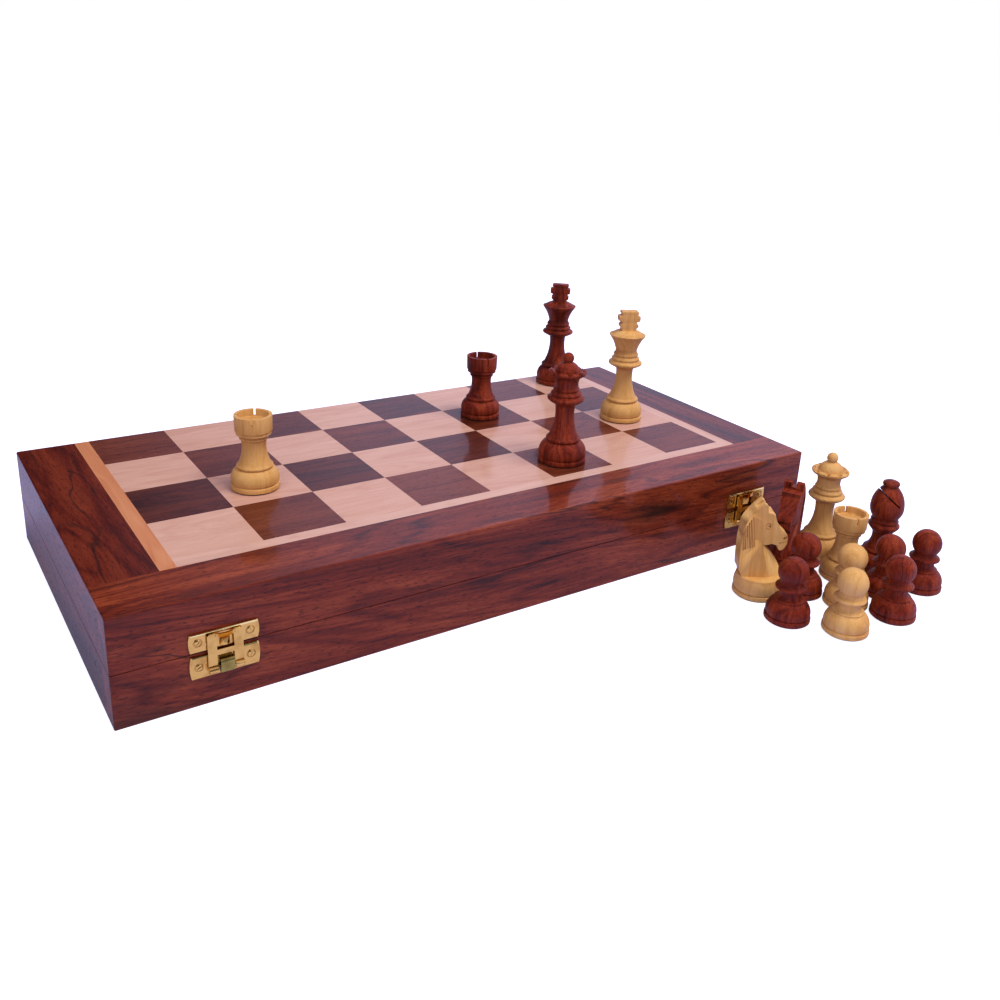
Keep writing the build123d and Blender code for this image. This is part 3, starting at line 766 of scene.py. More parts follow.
@dataclass(frozen=True)
class Cloth:
    """A short-napped cloth."""

    name: str
    colour: Colour
    deep: Colour
    nap: float

    def make(self) -> Material:
        """Build the material on Object coordinates.

        Returns:
            The material.
        """
        material, w, shader = new_material(self.name)
        place = w.add("TexCoord").outputs["Object"]
        nap = w.noise(place, self.nap, 3.0)
        mask = w.plus(w.times(nap, 0.6), w.times(w.noise(place, 38.0, 3.0), 0.4))
        w.fill(shader, Base_Color=w.mixed(w.ramped(mask, 0.35, 0.65), tone(self.deep), tone(self.colour)),
               Roughness=0.95, Sheen_Weight=0.35, Sheen_Roughness=0.5)
        w.bump(shader, nap, 0.5, 0.0003)
        return material


ROSEWOOD = dict(streak=0.9, along=8.0, across=62.0, pore=0.6)
WOODS = (
    Wood("rosewood_along", ((40, 11, 5), (106, 36, 14), (144, 64, 32)), tilt=(0.0, -4.0, 2.0), **ROSEWOOD),
    Wood("rosewood_across", ((32, 8, 4), (86, 24, 8), (116, 44, 20)), Grain.ALONG_Y, tilt=(3.0, 0.0, -2.0),
         **ROSEWOOD),
    Wood("dark_square", ((50, 18, 10), (86, 34, 18), (112, 52, 32)), streak=0.5, along=12.0, across=95.0,
         tiles=0.5, pore=0.5),
    Wood("light_square", ((192, 140, 118), (202, 154, 131), (210, 165, 143)), along=16.0, across=110.0,
         tiles=0.35),
    Wood("pale_inlay", ((192, 146, 124), (204, 159, 138), (212, 168, 147)), along=16.0, across=120.0, pore=0.2,
         ends_from=0.166, left_tones=((180, 106, 64), (194, 122, 78), (204, 136, 92))),
    Wood("ground_plywood", ((150, 112, 78), (184, 146, 104), (204, 170, 128)), polish=Polish.BARE, along=9.0,
         across=90.0),
    # The men's hollow colours darken their grooves: partly gathered staining, partly painted shade.
    Wood("boxwood", ((192, 134, 68), (208, 154, 86), (220, 172, 106)), Grain.ALONG_Z, Polish.WAX, along=14.0,
         across=120.0, pore=0.2, stain_and_shade_colour=(134, 68, 24), hollow=0.85),
    Wood("stained_wood", ((50, 12, 7), (114, 36, 17), (150, 62, 33)), Grain.ALONG_Z, Polish.WAX, along=16.0,
         across=150.0, streak=0.6, streak_colour=(34, 9, 7), pore=0.5, stain_and_shade_colour=(36, 8, 5), hollow=0.8),
)
PLAIN_FINISHES = (
    # The polished brass's last colour is painted shade in its hollows.
    Metal("polished_brass", (224, 180, 96), (194, 148, 74), (0.12, 0.3), (84, 52, 22)),
    # Pale copy of the brass: a painted highlight on the plates' lips.
    Metal("lit_brass", (255, 234, 150), (250, 214, 110), (0.1, 0.2)),
    # Dark copy of the brass: painted shade on the hasp plate's tongue.
    Metal("shaded_brass", (156, 140, 70), (124, 104, 52), (0.1, 0.25)),
    # Amber copy of the brass: a painted warm reflection inside the hasp's arch.
    Metal("amber_brass", (214, 140, 34), (168, 92, 18), (0.14, 0.3)),
    Metal("bright_steel", (196, 194, 190), (160, 156, 150), (0.2, 0.38)),
    Cloth("green_lining", (24, 62, 40), (12, 36, 24), 2600.0),
    Cloth("foot_felt", (30, 46, 34), (16, 26, 20), 3600.0),
)


def make_finishes() -> dict[str, Material]:
    """Build the shared groups and every finish, by name.

    Returns:
        The materials by the names of their finishes.
    """
    files = 8
    tiles = [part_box(f"lower_{kind}_squares") for kind in ("light", "dark")]
    left, front = min(low.x for low, _ in tiles), min(low.y for low, _ in tiles)
    square = (max(high.x for _, high in tiles) - left) / files
    figure, tile = wood_figure_group(), tile_group(square, left, front)
    made = {wood.name: wood.make(figure, tile) for wood in WOODS}
    return made | {finish.name: finish.make() for finish in PLAIN_FINISHES}


def stand_in(piece: Piece, body: str, node: str) -> Piece:
    """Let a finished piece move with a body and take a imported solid's place.

    Args:
        piece: the finished piece.
        body: the body that it rides on.
        node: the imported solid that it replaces.

    Returns:
        The piece.
    """
    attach(piece, body)
    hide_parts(node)
    return piece


# The box

WOOD_OF = {
    "front_rail": "rosewood_along", "back_rail": "rosewood_along", "left_rail": "rosewood_across",
    "right_rail": "rosewood_across", "ground_board": "ground_plywood", "light_squares": "light_square",
    "dark_squares": "dark_square", "inlay_strips": "pale_inlay",
}


@dataclass
class Box:
    """The two halves of the box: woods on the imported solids, and padding in the wells."""

    finishes: dict[str, Material]
    slots: int = 8
    slot_pitch: float = 44.0
    slot_width: float = 30.0
    foam_edge: float = 5.6

    def dress(self) -> None:
        """Give each wooden solid its wood."""
        for half in ("upper", "lower"):
            for part, wood in WOOD_OF.items():
                dress(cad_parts[f"{half}_{part}"], self.finishes[wood])

    def build(self) -> list[Piece]:
        """Replace the lining and the foam of both halves by padded pieces."""
        return [piece for half, stagger in (("lower", 1), ("upper", -1))
                for piece in (self.lining(half), self.foam(half, stagger))]

    def lining(self, half: str) -> Piece:
        """The cloth-covered pad on one half's ground board."""
        pad = block(f"{half}_cloth_pad", *spans_of(f"{half}_lining_pad"), 0.3)
        return self.settle(pad, half, "lining_pad", 35.0)

    def foam(self, half: str, stagger: int) -> Piece:
        """The covered foam strips of one half.

        Args:
            half: "upper" or "lower".
            stagger: +1 or -1, which way the slots are moved by a quarter pitch.

        Returns:
            The strips as one padded piece.
        """
        x, (front, back), z = spans_of(f"{half}_foam_strips")
        depth = (back - front - 3 * self.foam_edge) / 2
        rows = [(front + self.foam_edge, front + self.foam_edge + depth),
                (back - self.foam_edge - depth, back - self.foam_edge)]
        strips = [(x, (front, rows[0][0])), (x, (rows[0][1], rows[1][0])), (x, (rows[1][1], back))]
        walls = [x[0]]
        for index in range(self.slots):
            middle = (index - (self.slots - 1) / 2) * self.slot_pitch + stagger * self.slot_pitch / 4
            walls += [middle - self.slot_width / 2, middle + self.slot_width / 2]
        walls.append(x[1])
        strips += [(wall, row) for row in rows for wall in zip(walls[::2], walls[1::2])]
        blocks = [block(f"strip_{n}", across, along, z, 1.3, 3) for n, (across, along) in enumerate(strips)]
        return self.settle(joined(f"{half}_covered_strips", blocks), half, "foam_strips", 50.0)

    def settle(self, piece: Piece, half: str, part: str, smooth: float) -> Piece:
        """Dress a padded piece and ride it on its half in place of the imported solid.

        Args:
            piece: the padded piece.
            half: "upper" or "lower".
            part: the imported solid's name without the half.
            smooth: edges up to this many degrees are shaded smooth.

        Returns:
            The piece.
        """
        soften(piece, 0.0, angle=smooth)
        dress(piece, self.finishes["green_lining"])
        stand_in(piece, f"{half}_half", f"{half}_{part}")
        return piece


# Metalwork

SCREW_PITCH = 22.4
PLATE_SHEET = 0.8


class Brass(IntEnum):
    """Material slots of a latch piece, each named after its finish: polished brass, then three copies of it with
    painted light, a painted warm reflection, painted shade and a painted highlight.
    """

    POLISHED = 0
    # Painted warm reflection.
    AMBER = 1
    # Painted shade.
    SHADED = 2
    # Painted highlight.
    LIT = 3


def bow(start: Point, middle: Point, end: Point, count: int = 8) -> list[Point]:
    """Points of a smooth bow from start through the middle to end, without the start.

    Args:
        start: where the bow starts.
        middle: the point half way.
        end: where it ends.
        count: number of points.

    Returns:
        The points in order, with the end.
    """
    knee = (2 * middle[0] - (start[0] + end[0]) / 2, 2 * middle[1] - (start[1] + end[1]) / 2)
    ways = [index / count for index in range(1, count + 1)]
    return [tuple((1 - t) ** 2 * a + 2 * t * (1 - t) * b + t * t * c for a, b, c in zip(start, knee, end))
            for t in ways]


def corner(middle: Point, radius: float, start: float, count: int = 5) -> list[Point]:
    """A quarter turn round a point from an angle in degrees, anticlockwise."""
    angles = [math.radians(start + 90 * index / count) for index in range(count + 1)]
    return [(middle[0] + radius * math.cos(angle), middle[1] + radius * math.sin(angle)) for angle in angles]


@dataclass
class Latch:
    """One latch on the front of the box.

    screw_ring is (radius, wire), nose (width, height, reach), tongue (width, reach) and crossbar
    (height above the pivot, thickness). The pivot lies pivot_out before the box front.
    """

    side: str
    finishes: dict[str, Material]
    bowed: float = 0.7
    lip: float = 1.0
    lip_out: float = 0.45
    lip_ease: float = 0.42
    screw_ring: Point = (1.75, 0.28)
    nose: Place = (5.0, 4.6, 2.2)
    nose_up: float = 0.7
    nose_droop: float = 1.0
    nose_tip: float = 0.2
    tongue: Point = (6.0, 4.6)
    tongue_up: float = 4.9
    tongue_down: float = 1.7
    tongue_turn: float = 1.5
    pin: float = 1.0
    pivot_up: float = 3.2
    pivot_out: float = 2.5
    bar: float = 3.9
    bar_turn: float = 1.2
    hasp_sheet: float = 0.9
    hasp_gap: float = 0.6
    top_bar: float = 1.7
    crossbar: Point = (6.5, 2.5)
    arch: float = 1.3
    eye: float = 1.5

    def frame_of(self, node: str) -> tuple[float, float, float, float, float]:
        """Middle X, half width, foot Z, height and back Y of a packed latch piece."""
        (left, right), (_, back), (low, high) = spans_of(f"{self.side}_{node}")
        return (left + right) / 2, (right - left) / 2, low, high - low, back

    def plate(self, node: str) -> Piece:
        """A plate with bowed ends, a lip along its top and rings round its screws.

        Args:
            node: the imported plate's name without its side.

        Returns:
            The plate, neither eased nor dressed.
        """
        middle, half, low, height, back = self.frame_of(node)
        flat, top, front = half - self.bowed, low + height, back - PLATE_SHEET
        outline = [(-flat, 0.0), (flat, 0.0)] + bow((flat, 0.0), (half, height / 2), (flat, height))
        outline += [(-flat, height)] + bow((-flat, height), (-half, height / 2), (-flat, 0.0))[:-1]
        points = [Vector((middle + x, back, low + z)) * MM for x, z in outline]
        piece = plate_from("plate", points, Vector((0, -PLATE_SHEET * MM, 0)))
        lip = block("lip", (middle - flat + 0.1, middle + flat - 0.1), (front - self.lip_out, back - 0.2),
                    (top - self.lip, top - 0.02), self.lip_ease)
        carve(piece, [lip], join=True)
        for shift in (-SCREW_PITCH / 2, SCREW_PITCH / 2):
            place = Vector((middle + shift, front, low + height / 2)) * MM
            carve(piece, [moved(ring("ring", *self.screw_ring, 32), at(place, 90, "X"))])
        return piece

    def catch(self) -> Piece:
        """Catch plate with its blunt pyramid of a nose.

        Returns:
            The finished catch plate.
        """
        piece = self.plate("catch_plate")
        middle, _, low, _, back = self.frame_of("catch_plate")
        wide, tall, reach = self.nose
        foot, front = low + self.nose_up, back - PLATE_SHEET
        nose = block("nose", (middle - wide / 2, middle + wide / 2), (front - reach, front + 0.3),
                     (foot, foot + tall))
        heart = Vector((middle, front - reach, foot + tall / 2)) * MM
        with editing(nose):
            bpy.ops.mesh.select_all(action="DESELECT")
            mesh = bmesh.from_edit_mesh(nose.data)
            for vertex in mesh.verts:
                vertex.select = vertex.co.y < (front - reach / 2) * MM
            mesh.select_flush(True)
            bmesh.update_edit_mesh(nose.data)
            bpy.ops.transform.resize(value=(self.nose_tip, 1.0, self.nose_tip), center_override=heart)
            bpy.ops.transform.translate(value=(0, 0, -self.nose_droop * MM))
        carve(piece, [nose], join=True)
        return self.finish(piece, "catch_plate", "upper_half")

    def hasp_plate(self) -> Piece:
        """Hasp plate with its tongue curled over the pivot.

        Returns:
            The finished hasp plate.
        """
        piece = self.plate("hasp_plate")
        middle, _, low, _, back = self.frame_of("hasp_plate")
        wide, out = self.tongue
        pivot, front, turn = low + self.pivot_up, back - PLATE_SHEET + 0.2, self.tongue_turn
        nose, top, foot = back - out, pivot + self.tongue_up, pivot - self.tongue_down
        side = [(front, foot), (front, top)] + corner((nose + turn, top - turn), turn, 90)
        side += corner((nose + turn, foot + turn), turn, 180)
        points = [Vector((middle - wide / 2, y, z)) * MM for y, z in side]
        tongue = plate_from("tongue", points, Vector((wide * MM, 0, 0)))
        place = Vector((middle, back - self.pivot_out, pivot)) * MM
        carve(tongue, [moved(cylinder("hole", self.pin, wide + 2, 24), at(place, 90, "Y"))])
        carve(piece, [tongue], join=True)
        piece = self.finish(piece, "hasp_plate", "lower_half")
        # The tongue's front faces get the dark copy of the brass: painted shade.
        for face in piece.data.polygons:
            if abs(face.center.x / MM - middle) < wide / 2 + 0.05 and face.center.y < (front - 0.35) * MM:
                face.material_index = Brass.SHADED
        return piece

    def hasp(self) -> Piece:
        """The swinging frame: two bars with eyes, a crossbar and the arched top bar.

        Returns:
            The finished hasp.
        """
        middle, half, low, height, _ = self.frame_of("hasp")
        box_front = self.frame_of("catch_plate")[-1]
        back, pivot, top = box_front - PLATE_SHEET - self.hasp_gap, low + self.eye, low + height
        inner, turn = half - self.bar, self.bar_turn
        arms = []
        for side in (-1, 1):
            outline = [(inner, 0.0), (half, 0.0), *corner((half - turn, top - pivot - turn), turn, 0),
                       (inner, top - pivot)]
            points = [Vector((middle + side * x, back, pivot + z)) * MM for x, z in outline]
            arms.append(plate_from("arm", points, Vector((0, -self.hasp_sheet * MM, 0))))
            place = Vector((middle + side * (inner + half) / 2, box_front - self.pivot_out, pivot)) * MM
            carve(arms[-1], [moved(cylinder("eye", self.eye, self.bar, 32), at(place, 90, "Y"))], join=True)
        carve(arms[0], arms[1:], join=True)
        low_bar, thick = self.crossbar
        bar = block("crossbar", (middle - inner - 0.5, middle + inner + 0.5),
                    (back - self.hasp_sheet + 0.02, back - 0.02), (pivot + low_bar, pivot + low_bar + thick))
        root, seat = inner + 0.7, inner + 1.8
        under = [(-root, back)] + bow((-root, back), (0, back - self.arch), (root, back), 14)
        over = [(seat, back)] + bow((seat, back), (0, back - self.arch - self.hasp_sheet), (-seat, back), 14)
        points = [Vector((middle + x, y, top - self.top_bar)) * MM for x, y in under + over]
        arch = plate_from("arch", points, Vector((0, 0, (self.top_bar - 0.02) * MM)))
        carve(arms[0], [bar, arch], join=True)
        piece = self.finish(arms[0], "hasp", f"{self.side}_hasp")
        # The arch's faces between the bars get the amber copy of the brass: a painted warm reflection.
        for face in piece.data.polygons:
            in_arch = face.center.z > (top - self.top_bar - 0.05) * MM
            if in_arch and abs(face.center.x / MM - middle) < inner - 0.3:
                face.material_index = Brass.AMBER
        return piece

    def finish(self, piece: Piece, node: str, body: str) -> Piece:
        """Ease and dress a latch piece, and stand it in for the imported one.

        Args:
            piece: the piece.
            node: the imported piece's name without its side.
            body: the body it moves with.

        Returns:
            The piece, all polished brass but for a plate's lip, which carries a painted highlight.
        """
        piece.name = piece.data.name = f"{self.side}_{node}_brass"
        soften(piece, 0.12, 2, 30.0)
        # Hollow values for the painted shade in the recesses.
        mark_hollows(piece, 1, 0.4)
        dress(piece, *(self.finishes[f"{brass.name.lower()}_brass"] for brass in Brass))
        _, _, low, height, back = self.frame_of(node)
        # A plate's lip gets the pale copy of the brass: a painted highlight.
        for face in piece.data.polygons:
            in_lip = face.center.z > (low + height - self.lip) * MM and face.center.y < (back - PLATE_SHEET) * MM
            highlighted_lip = node.endswith("plate") and in_lip and face.normal.x ** 2 < 0.3
            face.material_index = Brass.LIT if highlighted_lip else Brass.POLISHED
        return stand_in(piece, body, f"{self.side}_{node}")

    def build(self) -> list[Piece]:
        """Build both plates and the hasp."""
        return [self.catch(), self.hasp_plate(), self.hasp()]


@dataclass
class Metalwork:
    """Hinges, latches and screws."""

    finishes: dict[str, Material]
    latch_offset: float = 156.5
    head: float = 1.5
    dome: float = 0.45

    def dress(self) -> None:
        """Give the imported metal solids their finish."""
        for node in ("lower_hinge_leaves", "upper_hinge_leaves", "lower_hinge_screws", "upper_hinge_screws"):
            dress(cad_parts[node], self.finishes["polished_brass"])
        for node in ("hinge_pins", "hasp_pins"):
            dress(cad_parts[node], self.finishes["bright_steel"])

    def screws(self, plate: str, body: str, turn: float) -> Piece:
        """The four slotted domed screws of the two plates of one kind.

        Args:
            plate: name of the plates without their side.
            body: the body they ride on.
            turn: how far each next slot is turned, in degrees.

        Returns:
            The screws as one piece.
        """
        rise = [(0.0, -1.2), (0.9, -1.2), (0.9, -0.5), (self.head - 0.1, -0.1), (self.head, 0.0)]
        top = [(self.head * math.cos(a), self.dome * math.sin(a)) for a in (0.35, 0.7, 1.05, 1.35)]
        pattern = lathe("screw", rise + top + [(0.0, self.dome)], 36)
        carve(pattern, [block("slot", (-2, 2), (-0.22, 0.22), (0.12, 1))])
        soften(pattern, 0.05, 1, 30.0)
        low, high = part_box(f"left_{plate}")
        places = [(latch * self.latch_offset + side * SCREW_PITCH / 2) * MM for latch in (-1, 1) for side in (-1, 1)]
        made = [copied(pattern, f"screw_{n}", at((x, high.y - PLATE_SHEET * MM, (low.z + high.z) / 2), 90, "X")
                       @ at((0, 0, 0), turn * (n + 1))) for n, x in enumerate(places)]
        bpy.data.objects.remove(pattern)
        piece = joined(f"{plate}_screws_slotted", made)
        # Hollow values for the painted shade in the slots.
        mark_hollows(piece, 1)
        dress(piece, self.finishes["polished_brass"])
        return stand_in(piece, body, f"{plate}_screws")

    def build(self) -> list[Piece]:
        """Build both latches and all their screws."""
        made = [piece for side in ("left", "right") for piece in Latch(side, self.finishes).build()]
        return made + [self.screws("catch_plate", "upper_half", 50), self.screws("hasp_plate", "lower_half", 35)]


# Men

FOOT_HEIGHT = 3.7
RIM_TOP = 2.8


def run(start: Point, steps: Iterable[Step], fine: float = 0.7) -> list[Point]:
    """Follow the steps of a turned outline.

    Args:
        start: (radius, height) where the outline starts.
        steps: (radius, rise, swell) of each step, as the turner reads them.
        fine: longest piece of an arc.

    Returns:
        The points of the outline, without the start.
    """
    points: list[Point] = []
    radius, height = start
    for next_radius, up, swell in steps:
        across = next_radius - radius
        length, depth = math.hypot(across, up), abs(swell)
        if depth and length:
            way = (across / length, up / length)
            out = (way[1] * math.copysign(1, swell), -way[0] * math.copysign(1, swell))
            bend = (length * length / 4 + depth * depth) / (2 * depth)
            half = 2 * math.atan2(2 * depth, length)
            count = max(3, math.ceil(2 * half * bend / fine))
            for index in range(1, count):
                turn = half * (2 * index / count - 1)
                forward = length / 2 + bend * math.sin(turn)
                aside = bend * math.cos(turn) - bend + depth
                points.append((radius + way[0] * forward + out[0] * aside,
                               height + way[1] * forward + out[1] * aside))
        radius, height = next_radius, height + up
        points.append((radius, height))
    return points


def disc(radius: float, thickness: float, swell: float = 0.0, under: float = 0.0) -> list[Step]:
    """A turned disc: out to its edge, then up it, swelling to its radius."""
    return [(radius - swell, under, 0), (radius - swell, thickness, swell)]


def ball(radius: float, neck: float) -> list[Step]:
    """A ball on a neck, closing the outline on the axis.

    Args:
        radius: the ball's radius.
        neck: radius of the neck that it sits on.

    Returns:
        The one step of the ball.
    """
    below = math.sqrt(radius**2 - neck**2)
    half_angle = (math.pi / 2 + math.asin(below / radius)) / 2
    return [(0.0, below + radius, radius * (1 - math.cos(half_angle)))]


def cap(radius: float, rise: float) -> list[Step]:
    """A shallow spherical cap that closes the outline on the axis."""
    sphere = (radius**2 + rise**2) / (2 * rise)
    return [(0.0, rise, sphere - math.sqrt(sphere**2 - (radius**2 + rise**2) / 4))]


@dataclass
class Man:
    """One kind of man, turned on the lathe about Z with its felt on Z=0."""

    base: float
    steps: list[Step]
    felt: float = 0.55
    groove: float = 0.9
    segments: int = 72
    ease: float = 0.16

    def outline(self) -> list[Point]:
        """The whole outline from the felt's middle to the top.

        Returns:
            The (radius, height) points in order.
        """
        rim = self.base
        felt = [(0.0, 0.0), (rim - 0.9, 0.0), (rim - 0.9, self.felt)]
        foot = [(rim - 0.45, 0.0, 0), (rim, 0.45, 0.12), (rim, RIM_TOP - self.felt - 0.45, 0),
                (rim - 0.35, 0.35, 0.08), (rim - self.groove, 0.1, 0), (rim - self.groove, 0.45, 0)]
        return felt + run(felt[-1], foot + self.steps)

    def details(self, body: Piece) -> None:
        """Carve what the lathe can't make; a plain man has nothing."""

    def build(self, name: str) -> Piece:
        """Turn, carve and finish the man at the origin, with its felt in the second material slot.

        Args:
            name: the model's name.

        Returns:
            The man.
        """
        points = self.outline()
        if points[-1][0] > 0:
            points.append((0.0, points[-1][1]))
        body = lathe(name, points, self.segments)
        self.details(body)
        soften(body, self.ease)
        dress(body, None, None)
        for face in body.data.polygons:
            top = max(body.data.vertices[i].co.z for i in face.vertices)
            face.material_index = int(top <= (self.felt + 0.02) * MM)
        # Hollow values for the darker grooves: gathered staining and painted shade.
        mark_hollows(body)
        return body


@dataclass
class King(Man):
    """Cup with a dome and a carved cross."""

    thickness: float = 6.4

    def details(self, body: Piece) -> None:
        """Stand the cross on the dome.

        Args:
            body: the turned king.
        """
        low = top_of(body) + 0.2
        right = [(4.7, -1.5), (4.7, 1.2), (5.9, 2.1), (6.0, 3.5), (4.7, 4.5), (4.7, 5.3), (6.8, 5.9), (6.9, 9.0),
                 (4.8, 9.5), (4.8, 10.3), (5.8, 10.9), (5.3, 12.2)]
        outline = right + [(-x, z) for x, z in reversed(right)]
        depth = self.thickness * MM
        points = [Vector((x * MM, -depth / 2, (low + z) * MM)) for x, z in outline]
        cross = plate_from("cross", points, Vector((0, depth, 0)))
        soften(cross, 0.45, 2, 30.0)
        carve(body, [cross], join=True)


@dataclass
class Queen(Man):
    """Notched coronet with a dome and a ball. brim_steps is how many steps lead up to its brim."""

    notches: int = 9
    notch_radius: float = 1.5
    brim_radius: float = 11.5
    brim_steps: int = 21

    def details(self, body: Piece) -> None:
        """Saw the notches of the coronet.

        Args:
            body: the turned queen.
        """
        height = FOOT_HEIGHT + sum(step[1] for step in self.steps[:self.brim_steps])
        cutters = []
        for index in range(self.notches):
            turn = Matrix.Rotation(math.tau * index / self.notches, 4, "Z")
            out = Matrix.Translation((self.brim_radius * MM, 0, height * MM))
            notch = cylinder("notch", self.notch_radius, 6, 20)
            cutters.append(moved(notch, turn @ out @ Matrix.Rotation(math.pi / 2, 4, "Y")))
        carve(body, [joined("notches", cutters)])


@dataclass
class Bishop(Man):
    """Mitre with a saw cut and a button."""

    cut: float = 0.8
    fall: float = 38.0
    reach: float = 5.5
    cut_height: float = 45.0

    def details(self, body: Piece) -> None:
        """Saw the mitre."""
        blade = block("blade", (self.reach - 20, self.reach), (-15, 15), (-self.cut / 2, self.cut / 2), 0.1, 1)
        carve(body, [moved(blade, at((0, 0, self.cut_height * MM), self.fall, "Y"))])


@dataclass
class Rook(Man):
    """Hollow turret with saw-cut notches."""

    turret: float = 9.6
    wall: float = 1.7
    well: float = 3.8
    notch: float = 1.1

    def outline(self) -> list[Point]:
        """The outline goes over the rim and down the well.

        Returns:
            The points in order, ending on the well's floor.
        """
        points = super().outline()
        inner, top = self.turret - self.wall, points[-1][1]
        return points + [(inner, top), (inner - 0.1, top - self.well + 0.4), (inner - 0.5, top - self.well),
                         (0.0, top - self.well - 0.15)]

    def details(self, body: Piece) -> None:
        """Saw the four notches with two crossing cuts.

        Args:
            body: the turned rook.
        """
        top, reach, half, deep = top_of(body), 1.5 * self.turret, self.notch / 2, self.well - 0.3
        for angle in (45, 135):
            blade = block("blade", (-reach, reach), (-half, half), (top - deep, top + deep), 0.08, 1)
            carve(body, [moved(blade, at((0, 0, 0), angle))])


@dataclass
class Knight(Man):
    """Flat-carved horse's head on a turned foot, looking along +X."""

    thickness: float = 11.0
    locks: int = 6

    def neck_outline(self, neck: float) -> list[Point]:
        """Neck and chest on the XZ plane up to the jaw, from the foot's top at this height.

        Args:
            neck: height of the foot's top.

        Returns:
            The points in order, from the back of the neck to the chest.
        """
        points = [(-10.6, neck), (-10.8, neck + 1.6), (-12.3, neck + 4.0)]
        points += bow(points[-1], (-12.9, 27.0), (-12.6, 37.0))
        points += [(-1.6, 38.0), (-1.2, 31.2)]
        points += bow(points[-1], (5.8, 24.4), (11.2, neck + 3.8))
        return points + [(10.8, neck)]

    def head_outline(self) -> list[Point]:
        """Crest, ears, forehead, muzzle and jaw on the XZ plane.

        Returns:
            The points in order, from the nape round to the jaw.
        """
        points = [(-12.6, 36.0), (-12.65, 37.0)]
        points += bow(points[-1], (-12.4, 40.4), (-11.8, 43.2), 4)
        points += bow(points[-1], (-7.8, 49.6), (-2.8, 54.8))
        points += [(-1.1, 53.9), (-0.8, 50.1), (3.2, 49.2)]
        points += bow(points[-1], (5.2, 44.4), (8.9, 39.2))
        points += [(11.7, 36.9), (12.3, 35.0), (12.1, 31.8), (11.0, 29.5)]
        points += bow(points[-1], (9.2, 28.0), (7.4, 28.9), 5)
        return points + [(6.9, 31.0), (3.6, 32.1), (-1.2, 31.2), (-2.6, 34.0)]

    def slab(self, name: str, outline: list[Point], thinner: float = 0.0) -> Piece:
        """A flat outline as thick as the horse, or thinner by that much.

        Args:
            name: the piece's name.
            outline: the outline on XZ.
            thinner: how much thinner than the horse.

        Returns:
            The slab.
        """
        depth = (self.thickness - thinner) * MM
        points = [Vector((x * MM, -depth / 2, z * MM)) for x, z in outline]
        return plate_from(name, points, Vector((0, depth, 0)))

    def plane_off(self, piece: Piece, *points: Place) -> None:
        """Plane off what lies outside a plane, on both sides alike.

        Args:
            piece: what is planed.
            points: three points of the plane on the +Y side.
        """
        reach = 40
        for side in (-1, 1):
            start, end, other = (Vector((x, y * side, z)) * MM for x, y, z in points)
            along = (end - start).normalized()
            out = along.cross(other - start).normalized()
            out = out if out.y * side > 0 else -out
            tool = block("plane", (-reach, reach), (-reach, reach), (0, reach))
            turn = Matrix((along, out.cross(along), out)).transposed().to_4x4()
            carve(piece, [moved(tool, at(start) @ turn)])

    def gouge(self, start: Point, end: Point, side: int, radius: float, sink: float) -> Piece:
        """A round gouge along a line on one flat side.

        Args:
            start: (x, z) where it starts.
            end: (x, z) where it ends.
            side: +1 or -1, which side.
            radius: the gouge's radius.
            sink: how far its axis lies inside the side.

        Returns:
            The cutter.
        """
        tool = cylinder("gouge", radius, math.dist(start, end), 12)
        lean = Matrix.Rotation(math.atan2(end[0] - start[0], end[1] - start[1]), 4, "Y")
        x, z = ((first + last) / 2 * MM for first, last in zip(start, end))
        return moved(tool, at((x, side * (self.thickness / 2 - sink) * MM, z)) @ lean)

    def details(self, body: Piece) -> None:
        """Carve the horse and set it on the foot.

        Args:
            body: the turned foot.
        """
        half = self.thickness / 2
        chest = self.slab("neck", self.neck_outline(top_of(body) - 0.5), 0.1)
        head = self.slab("head", self.head_outline())
        carve(head, [block("gap", (-9, 2), (-1.4, 1.4), (51.4, 60))])
        nostril, mouth, pupil = ((9.7, 35.7), (10.5, 34.7)), ((7.6, 32.3), (13, 32.9)), ((0.6, 42.0), (0.6, 42.8))
        for side in (-1, 1):
            for index in range(self.locks):
                part = index / (self.locks - 1)
                line = (-8.6 - 3.9 * part, 47.4 - 8.4 * part), (-5.6 - 6.0 * part, 30.0 - 2.2 * part)
                for piece in (head, chest):
                    carve(piece, [self.gouge(*line, side, 0.42, -0.12)])
            for line, radius, sink in ((nostril, 0.5, 1.3), (mouth, 0.35, 1.2), (pupil, 0.35, 0.0)):
                carve(head, [self.gouge(*line, side, radius, sink)])
            eye = at((0.6 * MM, side * half * MM, 42.4 * MM), 90, "X")
            carve(head, [moved(ring("eye_ring", 1.6, 0.34, 28), eye)])
        self.plane_off(chest, (-1.4, half, 31), (4.2, half, 12), (11.2, 1.6, 15.4))
        self.plane_off(chest, (2.4, half - 1, 26), (8.8, half - 1.5, 12), (11.2, 0.7, 15.4))
        self.plane_off(head, (1.5, half, 30), (1.5, half, 45), (12.3, half - 1.7, 35))
        carve(chest, [head], join=True)
        soften(chest, 0.3, 2, 40.0)
        joined(body.name, [body, chest])


